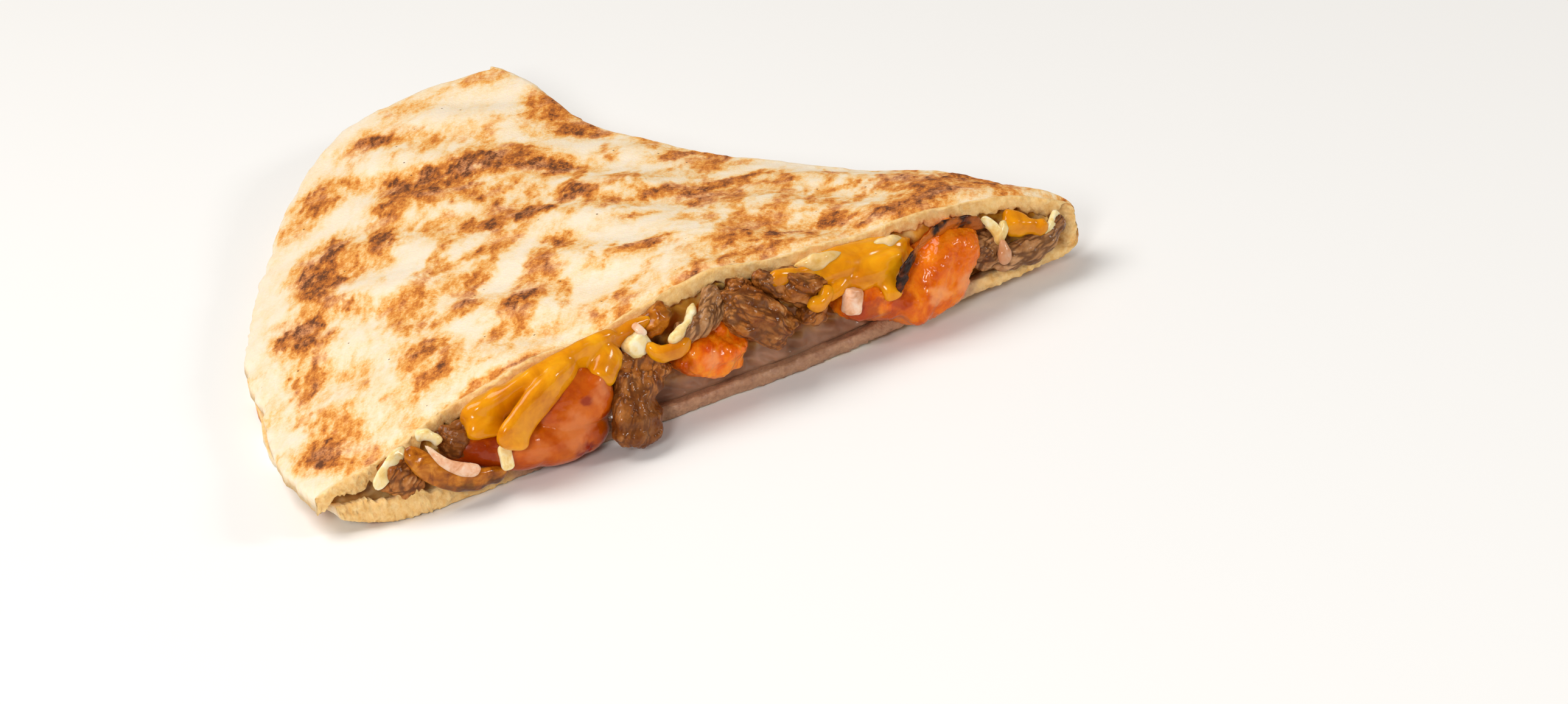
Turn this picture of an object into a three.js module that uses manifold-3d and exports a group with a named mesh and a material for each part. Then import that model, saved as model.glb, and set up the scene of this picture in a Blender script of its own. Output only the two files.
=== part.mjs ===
// A wedge of quesadilla: one flour tortilla folded over shrimp, beef, onion and melted cheese.
// Millimetres, +Z up. The wedge is modelled from its tip: the tip corner is the wedge's own origin,
// the knife cut runs along -X, the folded edge runs behind it, and the round open rim is at -X.

import * as THREE from 'three';
import { mergeVertices } from 'three/addons/utils/BufferGeometryUtils.js';
import Module from 'manifold-3d';

const wasm = await Module();
wasm.setup();
const { clamp, degToRad, lerp, smoothstep } = THREE.MathUtils;

// ---------------------------------------------------------------------------------------------
// Driving dimensions

const RADIUS = 150; // a 300 mm (12 inch) tortilla
const WEDGE_ANGLE = degToRad(68.8);
const SHEET = 2.5; // one layer of tortilla
const GAP = 0.3; // clearance between neighbouring pieces
const TIP_WIDTH = 2.5; // how far from the tip corner the sheet begins
const NOSE = 6.6; // how far the folded tip stands out past that corner
const NOSE_LENGTH = 16; // and over what distance it draws out
const NOSE_LIFT = 2.4; // the tip end is lifted off the table by this much
const NOSE_LIFT_ENDS = [15, 60]; // fully lifted up to the first distance, flat from the second
const CORNER_LIFT = 7; // the far corner of the fold curls off the table by this much
const LIFT_START = 0.45; // share of the way to that corner where the curl begins
const CUT_CURL = 2.8; // the front corner of the rim curls up by this much
const CUT_CURL_LENGTH = 16; // over this much of the cut
const CUT_CURL_SHARE = 0.16; // and this share of the wedge's angle
const RELIEF = 0.7; // height of the swells in the upper layer
const RELIEF_WAVE = 34; // and their length
const CROWN = 1; // how much the upper layer is domed between the cut and the fold
const CREASE = 1.7; // depth of the pinch along the middle of the folded edge
const CREASE_RIM = 0.35; // share of that depth left away from the tip
const CREASE_LENGTH = 30; // how far from the tip the deep part of the pinch runs
const CREASE_WIDTH = 0.45; // half the turn of the fold that the pinch takes, in radians
const RIM_DROP = 0.8; // how much thinner the sheet is pressed at its rim
const RIM_ROW = 0.25; // width of the last row of facets there, as a share of the others

// Smooth profiles through [distance from the tip, value] stations, in mm

const cutHeight = profile([
  [0, 8.6], [8, 13.6], [14, 15.6], [35, 19.4], [70, 23.4], [95, 20.8], [112, 18.8],
  [125, 15.8], [137, 11.6], [144, 8.4], [150, 5.5],
]);
const foldHeight = profile([
  [0, 8.6], [12, 12], [40, 12.5], [80, 11.9], [115, 9.8], [140, 7.4], [150, 6.0],
]);
const foldOffset = profile([
  [0, 0.4], [12, 0.2], [22, 2.6], [34, 2.8], [45, 1.2], [58, -0.3], [80, -2.2], [95, -1.2],
  [107, 0.2], [118, 2.8], [128, 7], [138, 11.2], [150, 13.6],
]);
const foldBulge = profile([[0, 4.6], [40, 4.0], [100, 3.4], [150, 2.9]]);
// share of the wedge's angle, radius of the rim
const rimRadius = profile([
  [0, 151], [0.13, 149.4], [0.23, 147.7], [0.34, 149.3], [0.48, 151.1], [0.6, 153.3],
  [0.7, 157.2], [0.78, 159.8], [0.86, 160], [0.93, 155], [1, 148],
]);
// share of the wedge's angle, how far the lower layer's rim shows past the upper one's
const lowerPeek = profile([
  [0, -3.4], [0.07, -2.8], [0.14, -2.4], [0.2, 0.3], [0.25, 0.9], [0.33, -0.7], [0.5, -1.0],
  [0.9, -0.6], [1, 0],
]);
// distance from the tip, how far each layer's cut edge stands forward of the cut
const upperEdge = profile([[0, 0], [60, 0.6], [104, 1.2], [114, 2.0], [122, 0.2], [134, 0.6], [150, 0]]);
const lowerEdge = profile([
  [0, 0.5], [20, 2.0], [60, 2.6], [100, 2.4], [118, 3.6], [132, 4.2], [142, 2.2], [150, -0.4],
]);

// ---------------------------------------------------------------------------------------------
// Small mathematics

/** A smooth curve through stations of [place, value], flat beyond its ends. */
function profile(stations) {
  const last = stations.length - 1;
  const slope = (n) => {
    const before = stations[Math.max(n - 1, 0)];
    const after = stations[Math.min(n + 1, last)];
    return (after[1] - before[1]) / (after[0] - before[0]);
  };
  return (place) => {
    const at = clamp(place, stations[0][0], stations[last][0]);
    let k = 0;
    while (k < last - 1 && at > stations[k + 1][0]) k += 1;
    const span = stations[k + 1][0] - stations[k][0];
    const t = (at - stations[k][0]) / span;
    return (
      (1 + 2 * t) * (1 - t) ** 2 * stations[k][1] +
      t * (1 - t) ** 2 * span * slope(k) +
      t ** 2 * (3 - 2 * t) * stations[k + 1][1] +
      t ** 2 * (t - 1) * span * slope(k + 1)
    );
  };
}

/** A repeatable draw of numbers from 0 to 1. */
function seeded(seed) {
  let state = seed * 7919 + 17;
  return () => {
    state = (state * 16807) % 2147483647;
    return state / 2147483647;
  };
}

/** A smooth uneven field from about -1 to 1: a few plane waves in random directions. */
function ripple(seed, wavelength) {
  const draw = seeded(seed);
  const waves = Array.from({ length: 6 }, (_, n) => {
    const rise = 2 * draw() - 1;
    const heading = 2 * Math.PI * draw();
    const flat = Math.sqrt(1 - rise * rise);
    const push = new THREE.Vector3(flat * Math.cos(heading), flat * Math.sin(heading), rise);
    return { push: push.multiplyScalar((2 * Math.PI * (1 + n / 5)) / wavelength), phase: 6 * draw() };
  });
  return (point) => waves.reduce((sum, wave) => sum + Math.sin(wave.push.dot(point) + wave.phase), 0) / 3;
}

const FOLD_OUT = new THREE.Vector3(Math.sin(WEDGE_ANGLE), Math.cos(WEDGE_ANGLE), 0);

// ---------------------------------------------------------------------------------------------
// The folded sheet. A place on a layer is (reach, share): reach is the distance from the tip and
// share runs from 0 at the cut to 1 at the fold.

/** How far both layers are lifted off the table. */
function lift(reach, share) {
  const towardsCorner = Math.max(0, (reach * share) / RADIUS - LIFT_START) / (1 - LIFT_START);
  const towardsRim = smoothstep(reach, RADIUS + 2 - CUT_CURL_LENGTH, RADIUS + 2);
  const nearCut = 1 - smoothstep(share, 0, CUT_CURL_SHARE);
  const nearTip = 1 - smoothstep(reach, ...NOSE_LIFT_ENDS);
  return CORNER_LIFT * towardsCorner ** 2 + CUT_CURL * towardsRim * nearCut + NOSE_LIFT * nearTip;
}

const swell = ripple(11, RELIEF_WAVE);

/** Height of the upper layer's top face. */
function topHeight(reach, share) {
  const scaled = (reach * RADIUS) / rimRadius(share);
  const body = lerp(cutHeight(scaled), foldHeight(scaled), share);
  const crown = CROWN * Math.sin(Math.PI * share) * smoothstep(RADIUS - scaled, 0, RELIEF_WAVE);
  const place = layerPlace(reach, share, 0, 0);
  const relief = RELIEF * swell(place) * smoothstep(RADIUS - scaled, 2, RELIEF_WAVE / 2);
  return body + crown + relief + lift(reach, share);
}

/** Plan position on a layer whose cut edge stands `forward` mm in front of the cut. */
function layerPlace(reach, share, forward, grow) {
  const angle = share * WEDGE_ANGLE;
  const pinch = (foldOffset(reach) - foldBulge(reach)) * share ** 2;
  const place = new THREE.Vector3(-reach * Math.cos(angle), reach * Math.sin(angle), 0);
  place.addScaledVector(FOLD_OUT, pinch);
  place.x += NOSE * Math.exp(-((reach / NOSE_LENGTH) ** 2));
  place.y -= (forward + grow) * (1 - share) ** 4;
  return place;
}

/** One row across the folded sheet at a given share of the way from the tip to the rim. */
function sheetRow(outwards, columns, turns, grow) {
  const start = TIP_WIDTH - grow;
  const row = { outer: [], inner: [] };
  const thinned = outwards === 1 ? RIM_DROP : 0;
  const put = (place, outerHeight, innerHeight) => {
    row.outer.push(place.clone().setZ(outerHeight));
    row.inner.push(place.clone().setZ(innerHeight));
  };
  for (let n = 0; n <= columns; n += 1) {
    const share = n / columns;
    const reach = lerp(start, rimRadius(share) + grow, outwards);
    const top = topHeight(reach, share);
    const place = layerPlace(reach, share, upperEdge(reach), grow);
    put(place, top + grow - thinned, top - SHEET - grow);
  }
  const reach = lerp(start, rimRadius(1) + grow, outwards);
  const low = lift(reach, 1);
  const half = (topHeight(reach, 1) - low) / 2;
  const bulge = foldBulge(reach);
  const spine = layerPlace(reach, 1, 0, 0);
  const pinch = CREASE * lerp(CREASE_RIM, 1, Math.exp(-((reach / CREASE_LENGTH) ** 2)));
  for (let n = 1; n < turns; n += 1) {
    const angle = Math.PI * (0.5 - n / turns);
    const crease = pinch * Math.exp(-((angle / CREASE_WIDTH) ** 2));
    const outer = (bulge + grow) * Math.cos(angle) - crease;
    const inner = Math.max(bulge - SHEET - crease - grow, GAP) * Math.cos(angle);
    const [rise, innerRise] = [half + grow, half - SHEET - grow].map((r) => r * Math.sin(angle));
    row.outer.push(spine.clone().addScaledVector(FOLD_OUT, outer).setZ(low + half + rise));
    row.inner.push(spine.clone().addScaledVector(FOLD_OUT, inner).setZ(low + half + innerRise));
  }
  for (let n = columns; n >= 0; n -= 1) {
    const share = n / columns;
    const edge = lerp(start, rimRadius(share) + lowerPeek(share) + grow, outwards);
    const under = lift(edge, share);
    const place = layerPlace(edge, share, lowerEdge(edge), grow);
    put(place, under - grow + thinned / 2, under + SHEET + grow);
  }
  return row;
}

/** The tortilla: a closed sheet of even thickness, folded once. */
function tortilla(rows, columns, turns, grow = 0) {
  const outwards = (n) => (n < rows ? n / (rows - 1 + RIM_ROW) : 1);
  const grid = Array.from({ length: rows + 1 }, (_, n) => sheetRow(outwards(n), columns, turns, grow));
  return closedSheet(grid);
}

/** A closed solid between the outer and inner faces of a grid of rows. */
function closedSheet(grid) {
  const across = grid[0].outer.length;
  const points = [];
  for (const face of ['outer', 'inner']) {
    for (const row of grid) for (const point of row[face]) points.push(point.x, point.y, point.z);
  }
  const layer = grid.length * across;
  const index = (row, column, inner) => row * across + column + (inner ? layer : 0);
  const triangles = [];
  const quad = (a, b, c, d) => triangles.push(a, b, c, a, c, d);
  for (let row = 0; row + 1 < grid.length; row += 1) {
    for (let column = 0; column + 1 < across; column += 1) {
      for (const inner of [false, true]) {
        const corners = [
          index(row, column, inner), index(row + 1, column, inner),
          index(row + 1, column + 1, inner), index(row, column + 1, inner),
        ];
        quad(...(inner ? corners.reverse() : corners));
      }
    }
    for (const [column, near] of [[0, true], [across - 1, false]]) {
      const corners = [
        index(row, column, false), index(row, column, true),
        index(row + 1, column, true), index(row + 1, column, false),
      ];
      quad(...(near ? corners : corners.reverse()));
    }
  }
  for (const [row, near] of [[0, false], [grid.length - 1, true]]) {
    for (let column = 0; column + 1 < across; column += 1) {
      const corners = [
        index(row, column, false), index(row, column, true),
        index(row, column + 1, true), index(row, column + 1, false),
      ];
      quad(...(near ? corners : corners.reverse()));
    }
  }
  return solidFrom(points, triangles);
}

// ---------------------------------------------------------------------------------------------
// Solids

const CHUNK_WAVE = 1.1; // length of a chunk's swells, on a ball of radius 1
const STRIP_WAVE = 6; // length of a strip's swells, in mm
const STRIP_END = 7; // the higher, the blunter a strip's ends

/** A manifold solid from points and triangles, turned the right way out. */
function solidFrom(points, triangles) {
  let volume = 0;
  const at = (n) => new THREE.Vector3(points[3 * n], points[3 * n + 1], points[3 * n + 2]);
  for (let n = 0; n < triangles.length; n += 3) {
    volume += at(triangles[n]).dot(at(triangles[n + 1]).cross(at(triangles[n + 2])));
  }
  const order = volume > 0 ? triangles : [...triangles].reverse();
  return new wasm.Manifold(new wasm.Mesh({
    numProp: 3,
    vertProperties: new Float32Array(points),
    triVerts: new Uint32Array(order),
  }));
}

/** The length of a vector under a norm that is round at 2 and boxier above it. */
function squareNorm(parts, square) {
  return parts.reduce((sum, part) => sum + Math.abs(part) ** square, 0) ** (1 / square);
}

/** A rounded, uneven chunk. `size` is its full extent and `turn` its rotation in degrees. */
function chunk({ at, size, turn = [0, 0, 0], seed, rough = 0.1, square = 2.6, detail = 2 }, grow) {
  const ball = new THREE.IcosahedronGeometry(1, detail);
  ball.deleteAttribute('normal');
  ball.deleteAttribute('uv');
  const geometry = mergeVertices(ball, 1e-4);
  const field = ripple(seed, CHUNK_WAVE);
  const half = new THREE.Vector3(...size).multiplyScalar(0.5);
  const turned = new THREE.Quaternion().setFromEuler(new THREE.Euler(...turn.map(degToRad)));
  const points = [];
  const spot = geometry.attributes.position;
  for (let n = 0; n < spot.count; n += 1) {
    const way = new THREE.Vector3().fromBufferAttribute(spot, n).normalize();
    const skin = way.clone().divideScalar(squareNorm(way.toArray(), square)).multiply(half);
    skin.multiplyScalar(1 + rough * field(way));
    const out = skin.clone().divide(half).divide(half).normalize();
    skin.addScaledVector(out, grow).applyQuaternion(turned).add(new THREE.Vector3(...at));
    points.push(...skin.toArray());
  }
  return solidFrom(points, [...geometry.index.array]);
}

/**
 * A strip with round ends swept along a path. It is `wide` across and `thick` through, times `girth`
 * along its length, and its flat side faces `up`.
 */
function strip(form, grow) {
  const { path, wide, thick, girth = () => 1, up = [0, 1, 0] } = form;
  const { square = 2.4, steps = 7, sides = 8, seed = 1, rough = 0 } = form;
  const curve = new THREE.CatmullRomCurve3(path.map((point) => new THREE.Vector3(...point)));
  const field = ripple(seed, STRIP_WAVE);
  const points = [];
  const ringOf = (t) => {
    const centre = curve.getPoint(t);
    const along = curve.getTangent(t);
    const side = new THREE.Vector3(...up).cross(along).normalize();
    return { centre, along, side, flat: along.clone().cross(side) };
  };
  const start = ringOf(0);
  const end = ringOf(1);
  points.push(...start.centre.addScaledVector(start.along, -grow).toArray());
  for (let n = 1; n < steps; n += 1) {
    const t = (1 - Math.cos((Math.PI * n) / steps)) / 2;
    const { centre, side, flat } = ringOf(t);
    const round = Math.sqrt(1 - Math.abs(2 * t - 1) ** STRIP_END) * girth(t);
    for (let s = 0; s < sides; s += 1) {
      const angle = (2 * Math.PI * (s + 0.5)) / sides;
      const [c, d] = [Math.cos(angle), Math.sin(angle)];
      const box = squareNorm([c, d], square);
      const skin = centre.clone()
        .addScaledVector(side, (c / box) * ((wide / 2) * round + grow))
        .addScaledVector(flat, (d / box) * ((thick / 2) * round + grow));
      skin.addScaledVector(skin.clone().sub(centre), rough * field(skin));
      points.push(...skin.toArray());
    }
  }
  points.push(...end.centre.addScaledVector(end.along, grow).toArray());
  const triangles = [];
  const last = points.length / 3 - 1;
  const ring = (n, s) => 1 + (n - 1) * sides + (s % sides);
  for (let s = 0; s < sides; s += 1) {
    triangles.push(0, ring(1, s + 1), ring(1, s));
    triangles.push(last, ring(steps - 1, s), ring(steps - 1, s + 1));
    for (let n = 1; n < steps - 1; n += 1) {
      triangles.push(ring(n, s), ring(n, s + 1), ring(n + 1, s + 1));
      triangles.push(ring(n, s), ring(n + 1, s + 1), ring(n + 1, s));
    }
  }
  return solidFrom(points, triangles);
}

/** Several forms melted into one. */
function joined(...forms) {
  return forms.reduce((whole, form) => whole.add(form));
}

// ---------------------------------------------------------------------------------------------
// The melted white cheese between the layers: it fills the fold from the cut back to the fold, stops
// short of the rim, and runs forward over the lower layer near the left end of the cut.

const BED_START = 9; // distance from the tip
const BED_END = 138;
const BED_BACK = 0.955; // share of the angle that it fills
const BED_GAP = 3 * GAP; // its facets don't match the sheet's, so it stands off further
const BED_SAG = 1; // how much further it hangs from the upper layer at its front
const BED_HOLLOW = 1.8; // how far its front face is hollowed
// How far behind the cut its front face stands, under the upper layer and over the lower one
const bedFront = profile([[9, 2.5], [40, 5], [80, 5], [112, 6], [138, 2]]);
const bedToe = profile([[9, 1], [80, 2], [112, 1.5], [120, -3.2], [132, -4.8], [138, -3.6]]);

function meltedBed(rows, columns, faces) {
  const grid = [];
  for (let n = 0; n <= rows; n += 1) {
    const reach = lerp(BED_START, BED_END, n / rows);
    const upper = [];
    const lower = [];
    for (let m = 0; m <= columns; m += 1) {
      const share = (BED_BACK * m) / columns;
      const front = Math.max(0, 1 - m / columns) ** 4;
      const place = layerPlace(reach, share, 0, 0);
      const [y, ground] = [place.y, lift(reach, share) + SHEET + BED_GAP];
      const ceiling = topHeight(reach, share) - SHEET - BED_GAP - BED_SAG * front;
      upper.push(place.clone().setY(y + bedFront(reach) * front).setZ(ceiling));
      lower.push(place.clone().setY(y + bedToe(reach) * front).setZ(ground));
    }
    const face = [];
    for (let m = 1; m < faces; m += 1) {
      const t = m / faces;
      const point = lower[0].clone().lerp(upper[0], t);
      point.y += BED_HOLLOW * Math.sin(Math.PI * t) * (1 - t);
      face.push(point);
    }
    grid.push([...lower.reverse(), ...face, ...upper]);
  }
  return closedTube(grid);
}

/** A closed solid round a grid of closed sections, with flat ends. */
function closedTube(grid) {
  const across = grid[0].length;
  const points = grid.flatMap((row) => row.flatMap((point) => point.toArray()));
  const index = (row, column) => row * across + (column % across);
  const triangles = [];
  for (let row = 0; row + 1 < grid.length; row += 1) {
    for (let column = 0; column < across; column += 1) {
      const [a, b] = [index(row, column), index(row, column + 1)];
      const [c, d] = [index(row + 1, column + 1), index(row + 1, column)];
      triangles.push(a, b, c, a, c, d);
    }
  }
  for (const row of [0, grid.length - 1]) {
    const centre = grid[row].reduce((sum, point) => sum.add(point), new THREE.Vector3());
    const hub = points.length / 3;
    points.push(...centre.divideScalar(across).toArray());
    for (let column = 0; column < across; column += 1) {
      const rim = [index(row, column), index(row, column + 1)];
      triangles.push(hub, ...(row === 0 ? rim.reverse() : rim));
    }
  }
  return solidFrom(points, triangles);
}

// ---------------------------------------------------------------------------------------------
// Finishes

const finish = (color, roughness) => new THREE.MeshStandardMaterial({ color, roughness, metalness: 0 });
const TORTILLA = finish('#e6c88f', 0.8);
const WHITE_CHEESE = finish('#ead9a6', 0.4);
const CHEDDAR = finish('#e69312', 0.3);
const SHRIMP = finish('#dd6a2a', 0.35);
const BEEF = finish('#7a5138', 0.6);
const ONION = finish('#b06a20', 0.35);
const CHAR = finish('#33201c', 0.5);
const SHRED = finish('#f0e4bd', 0.4);

// ---------------------------------------------------------------------------------------------
// The filling that shows at the cut, in the order in which pieces make room for each other: each is
// cut back by those before it.

const filling = [
  ['shrimp_left', SHRIMP, (grow) => joined(
    chunk({
      at: [-102.8, -3.5, 10.6], size: [16.4, 12, 12.6], turn: [0, -18, -8], seed: 3, rough: 0.05, detail: 3,
    }, grow),
    strip({
      path: [[-97, -4, 6], [-105, -5.5, 5.4], [-114, -5, 6.2], [-122, -3, 8.2], [-126, 1, 11]],
      wide: 9, thick: 8.4, girth: (t) => 1.12 - 0.45 * t, up: [0, 1, 0.2], square: 2,
    }, grow),
  )],
  ['shrimp_middle', SHRIMP, (grow) => joined(
    chunk({
      at: [-75.4, -3.2, 10.8], size: [14.5, 11, 8.6], turn: [10, 14, 5], seed: 5, rough: 0.07, detail: 3,
    }, grow),
    chunk({ at: [-71.8, -2, 14.2], size: [8.6, 7.5, 8.6], turn: [0, 15, 0], seed: 6, rough: 0.07 }, grow),
  )],
  ['shrimp_right', SHRIMP, (grow) => joined(
    chunk({
      at: [-29.2, -2.6, 9.9], size: [22, 12, 10.8], turn: [-8, -30, 4], seed: 8, rough: 0.06, detail: 3,
    }, grow),
    chunk({ at: [-41.6, -3, 8.6], size: [16, 10, 8.4], turn: [0, 14, 0], seed: 9, rough: 0.05 }, grow),
  )],
  ['beef_under_rim', BEEF, (grow) =>
    chunk({ at: [-135.4, -2.2, 7.4], size: [8.4, 6.4, 6.4], turn: [10, 30, 0], seed: 21 }, grow)],
  ['beef_behind_onion', BEEF, (grow) =>
    chunk({ at: [-124.4, -2.6, 10.6], size: [6.8, 6, 6], turn: [0, 10, 20], seed: 22 }, grow)],
  ['beef_hanging', BEEF, (grow) => joined(
    chunk({ at: [-89.8, -3.2, 12.8], size: [11.6, 8.6, 8.2], turn: [0, 12, 0], seed: 23, rough: 0.13 }, grow),
    strip({
      path: [[-90, -6.2, 12], [-92, -9, 8.4], [-94, -11.2, 4.8], [-94.8, -12.2, 1.6]],
      wide: 8.2, thick: 5, girth: (t) => 1 - 0.26 * t, square: 3, seed: 23, rough: 0.14,
    }, grow),
  )],
  ['beef_bent', BEEF, (grow) => strip({
    path: [[-72.4, -1.6, 20], [-72.3, -3.6, 18.4], [-74.4, -5.8, 16.8], [-78.6, -6.8, 15.8], [-82, -6, 16]],
    wide: 4.6, thick: 4.2, up: [0.4, 1, 0.2], square: 2.6, steps: 8, seed: 24, rough: 0.1,
  }, grow)],
  ['beef_chunk', BEEF, (grow) =>
    chunk({ at: [-65.2, -5.2, 14.6], size: [16, 9, 8.4], turn: [14, 40, -6], seed: 26, rough: 0.12 }, grow)],
  ['beef_scrap_left', BEEF, (grow) =>
    chunk({ at: [-66.6, -2, 19.2], size: [5.2, 5, 3.8], turn: [0, 30, 0], seed: 27, rough: 0.12 }, grow)],
  ['beef_scrap_right', BEEF, (grow) =>
    chunk({ at: [-61.2, -3.6, 18.6], size: [7.6, 4.4, 3.8], turn: [0, 48, 0], seed: 28, rough: 0.12 }, grow)],
  ['beef_slab', BEEF, (grow) =>
    chunk({ at: [-55.6, -3.4, 16.2], size: [11, 7.6, 6.8], turn: [8, 26, 4], seed: 29, rough: 0.13 }, grow)],
  ['beef_crumb', BEEF, (grow) =>
    chunk({ at: [-54.8, -5.2, 11.6], size: [5.2, 4.6, 4.2], turn: [0, 10, 0], seed: 30, rough: 0.12 }, grow)],
  ['beef_tip', BEEF, (grow) => joined(
    chunk({ at: [-17.4, -0.8, 9.6], size: [9, 8, 6.8], turn: [0, 20, 0], seed: 31 }, grow),
    strip({
      path: [[-16.6, -2.8, 8.2], [-12, -3.4, 7.6], [-7, -3.4, 8], [-3.4, -2.8, 9.4], [-0.8, -2, 11.2]],
      wide: 5.2, thick: 4.6, girth: (t) => 1.05 - 0.3 * t, seed: 31, rough: 0.08,
    }, grow),
  )],
  ['onion_left', ONION, (grow) => strip({
    path: [[-133.2, -4.6, 12], [-131.6, -5.6, 8.6], [-127.6, -6.6, 5.6], [-123, -7, 4.2], [-117.6, -7.2, 4]],
    wide: 4.4, thick: 2.4, girth: (t) => 0.9 + 0.2 * Math.sin(Math.PI * t), up: [0, 1, 0.5], steps: 9,
  }, grow)],
  ['onion_charred', CHAR, (grow) => strip({
    path: [
      [-38.6, -9, 11], [-37.4, -9.4, 14], [-35, -8.4, 16.4], [-30.6, -6.4, 17.6],
      [-25.6, -4.6, 17.6], [-20.8, -4, 16.6], [-17.8, -3.8, 14.6],
    ],
    wide: 3.4, thick: 1.8, up: [0, 1, 0.4], steps: 11,
  }, grow)],
  ['onion_browned', ONION, (grow) =>
    chunk({ at: [-83.8, -2, 18.2], size: [6.6, 6, 4.4], turn: [0, -34, 0], seed: 41, rough: 0.08 }, grow)],
  ['shred_under_rim', SHRED, (grow) => strip({
    path: [[-143.2, -4.2, 5.2], [-141.6, -4.6, 7.2], [-139.4, -4.6, 9]],
    wide: 2.4, thick: 1.4, up: [0, 1, -0.4], square: 4, steps: 6,
  }, grow)],
  ['shred_pink', SHRED, (grow) => strip({
    path: [[-131.4, -7.6, 9.8], [-129, -8.6, 7.8], [-126.2, -9, 6.6], [-123, -9.2, 6.4]],
    wide: 2, thick: 1.6, up: [0, 1, 0.4], square: 3,
  }, grow)],
  ['shred_curl', SHRED, (grow) =>
    chunk({ at: [-129, -3.4, 12], size: [4, 3.4, 3], turn: [0, 20, 0], seed: 43, detail: 1 }, grow)],
  ['shred_under_drip', SHRED, (grow) => strip({
    path: [[-118.3, -8.2, 9.6], [-118.4, -9, 7.4], [-118.5, -9.4, 5]],
    wide: 2.4, thick: 1.4, square: 4, steps: 6,
  }, grow)],
  ['cheese_cube', SHRED, (grow) => chunk({
    at: [-88.4, -5, 16.2], size: [5.2, 4, 4.4], turn: [0, -8, 12], seed: 45, rough: 0.05, square: 5,
  }, grow)],
  ['shred_grey', SHRED, (grow) => strip({
    path: [[-76.2, -3, 19.2], [-78, -5, 18], [-80.4, -6.8, 17.4], [-83, -7.8, 16.8]],
    wide: 2.2, thick: 1.6, up: [0, 1, 0.4], square: 3,
  }, grow)],
  ['cube_on_shrimp', SHRED, (grow) => chunk({
    at: [-47.6, -7.4, 12], size: [3.8, 2.8, 4.6], turn: [0, 12, 0], seed: 46, rough: 0.05, square: 5,
  }, grow)],
  ['shred_tip_left', SHRED, (grow) => joined(
    strip({
      path: [[-16.8, -2, 14.8], [-14.8, -2.8, 13.4], [-14.6, -3.6, 11.4]],
      wide: 2.2, thick: 1.4, square: 4, steps: 6,
    }, grow),
    strip({
      path: [[-12.4, -2.4, 14], [-13.6, -3.2, 12.4], [-15.4, -3.8, 11.2]],
      wide: 2, thick: 1.4, square: 4, steps: 6,
    }, grow),
  )],
  ['shred_tip_right', SHRED, (grow) => strip({
    path: [[-1.4, -2.2, 12.4], [-3.6, -3.8, 10.8], [-6.2, -5, 9.2]],
    wide: 2.4, thick: 1.4, square: 4, steps: 6,
  }, grow)],
  ['onion_seed', SHRED, (grow) => strip({
    path: [[-15.4, -5.4, 10.6], [-15.2, -6, 8.6], [-15, -5.8, 6.4]],
    wide: 2.6, thick: 1.8, girth: (t) => 0.8 + 0.3 * Math.sin(Math.PI * t), steps: 6,
  }, grow)],
  ['white_melt', WHITE_CHEESE, (grow) => strip({
    path: [[-58.4, -2.8, 20.2], [-51, -3.2, 19.4], [-44, -3.2, 18.4], [-37.4, -3, 17.6], [-34, -2.4, 17.2]],
    wide: 2.8, thick: 2, girth: (t) => 0.85 + 0.25 * Math.cos(9 * t), up: [0, 1, 0.4], steps: 9,
  }, grow)],
  ['cheddar_drip', CHEDDAR, (grow) => joined(
    strip({
      path: [[-123.4, -3.2, 13.4], [-114, -4.4, 15.8], [-104, -4.4, 17], [-95, -3.8, 17.8], [-86, -3, 18.8]],
      wide: 5.8, thick: 4.4, girth: (t) => 1.1 - 0.4 * t, up: [0, 1, 0.3], steps: 9, seed: 51, rough: 0.1,
    }, grow),
    strip({
      path: [[-119, -3.4, 14.6], [-119.6, -4.8, 12.6], [-120, -5.4, 10.4]],
      wide: 7.6, thick: 3.8,
    }, grow),
    strip({
      path: [
        [-101, -5.8, 18], [-107.4, -7.6, 16.4], [-113, -8.8, 13.6], [-116.4, -9.6, 11.2], [-117.8, -9.8, 8.8],
      ],
      wide: 7, thick: 3.6, girth: (t) => 0.86 + 0.2 * t ** 3, up: [0, 1, 0.2], steps: 9,
    }, grow),
    strip({
      path: [[-93.4, -4.4, 18], [-95.6, -6.2, 17.4], [-98.4, -7.8, 15.2]],
      wide: 5.8, thick: 4.2,
    }, grow),
  )],
  ['cheddar_smile', CHEDDAR, (grow) => strip({
    path: [[-87.4, -6.8, 14.6], [-85.4, -8, 13.2], [-82.2, -8.6, 12.8], [-79, -8.4, 13.8]],
    wide: 3.6, thick: 3, up: [0, 1, 0.3],
  }, grow)],
  ['cheddar_on_beef', CHEDDAR, (grow) => strip({
    path: [[-54.8, -6.8, 14.8], [-53, -7.6, 13.6], [-51.2, -7, 14.2], [-50.4, -5.6, 15.4]],
    wide: 3.4, thick: 2.8, up: [0, 1, 0.3],
  }, grow)],
  ['cheddar_melt', CHEDDAR, (grow) => joined(
    chunk({ at: [-47, -2.2, 16.6], size: [20, 8, 5.4], turn: [0, 4, 0], seed: 55, rough: 0.08 }, grow),
    chunk({ at: [-40.6, -4.8, 15], size: [12, 7, 5.2], turn: [0, -4, 0], seed: 56, rough: 0.08 }, grow),
    strip({ path: [[-40.6, -6.8, 14.4], [-40, -8.2, 12.2], [-39.8, -8.6, 9.8]], wide: 4, thick: 2.8 }, grow),
  )],
  ['cheddar_tip', CHEDDAR, (grow) => strip({
    path: [[-13.4, -1.8, 13.4], [-10, -2.4, 12.6], [-7, -3, 11.8], [-5, -3.4, 11]],
    wide: 4.6, thick: 3.6, girth: (t) => 0.85 + 0.2 * t, up: [0, 1, 0.2],
  }, grow)],
];

// ---------------------------------------------------------------------------------------------
// Assembly

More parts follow.
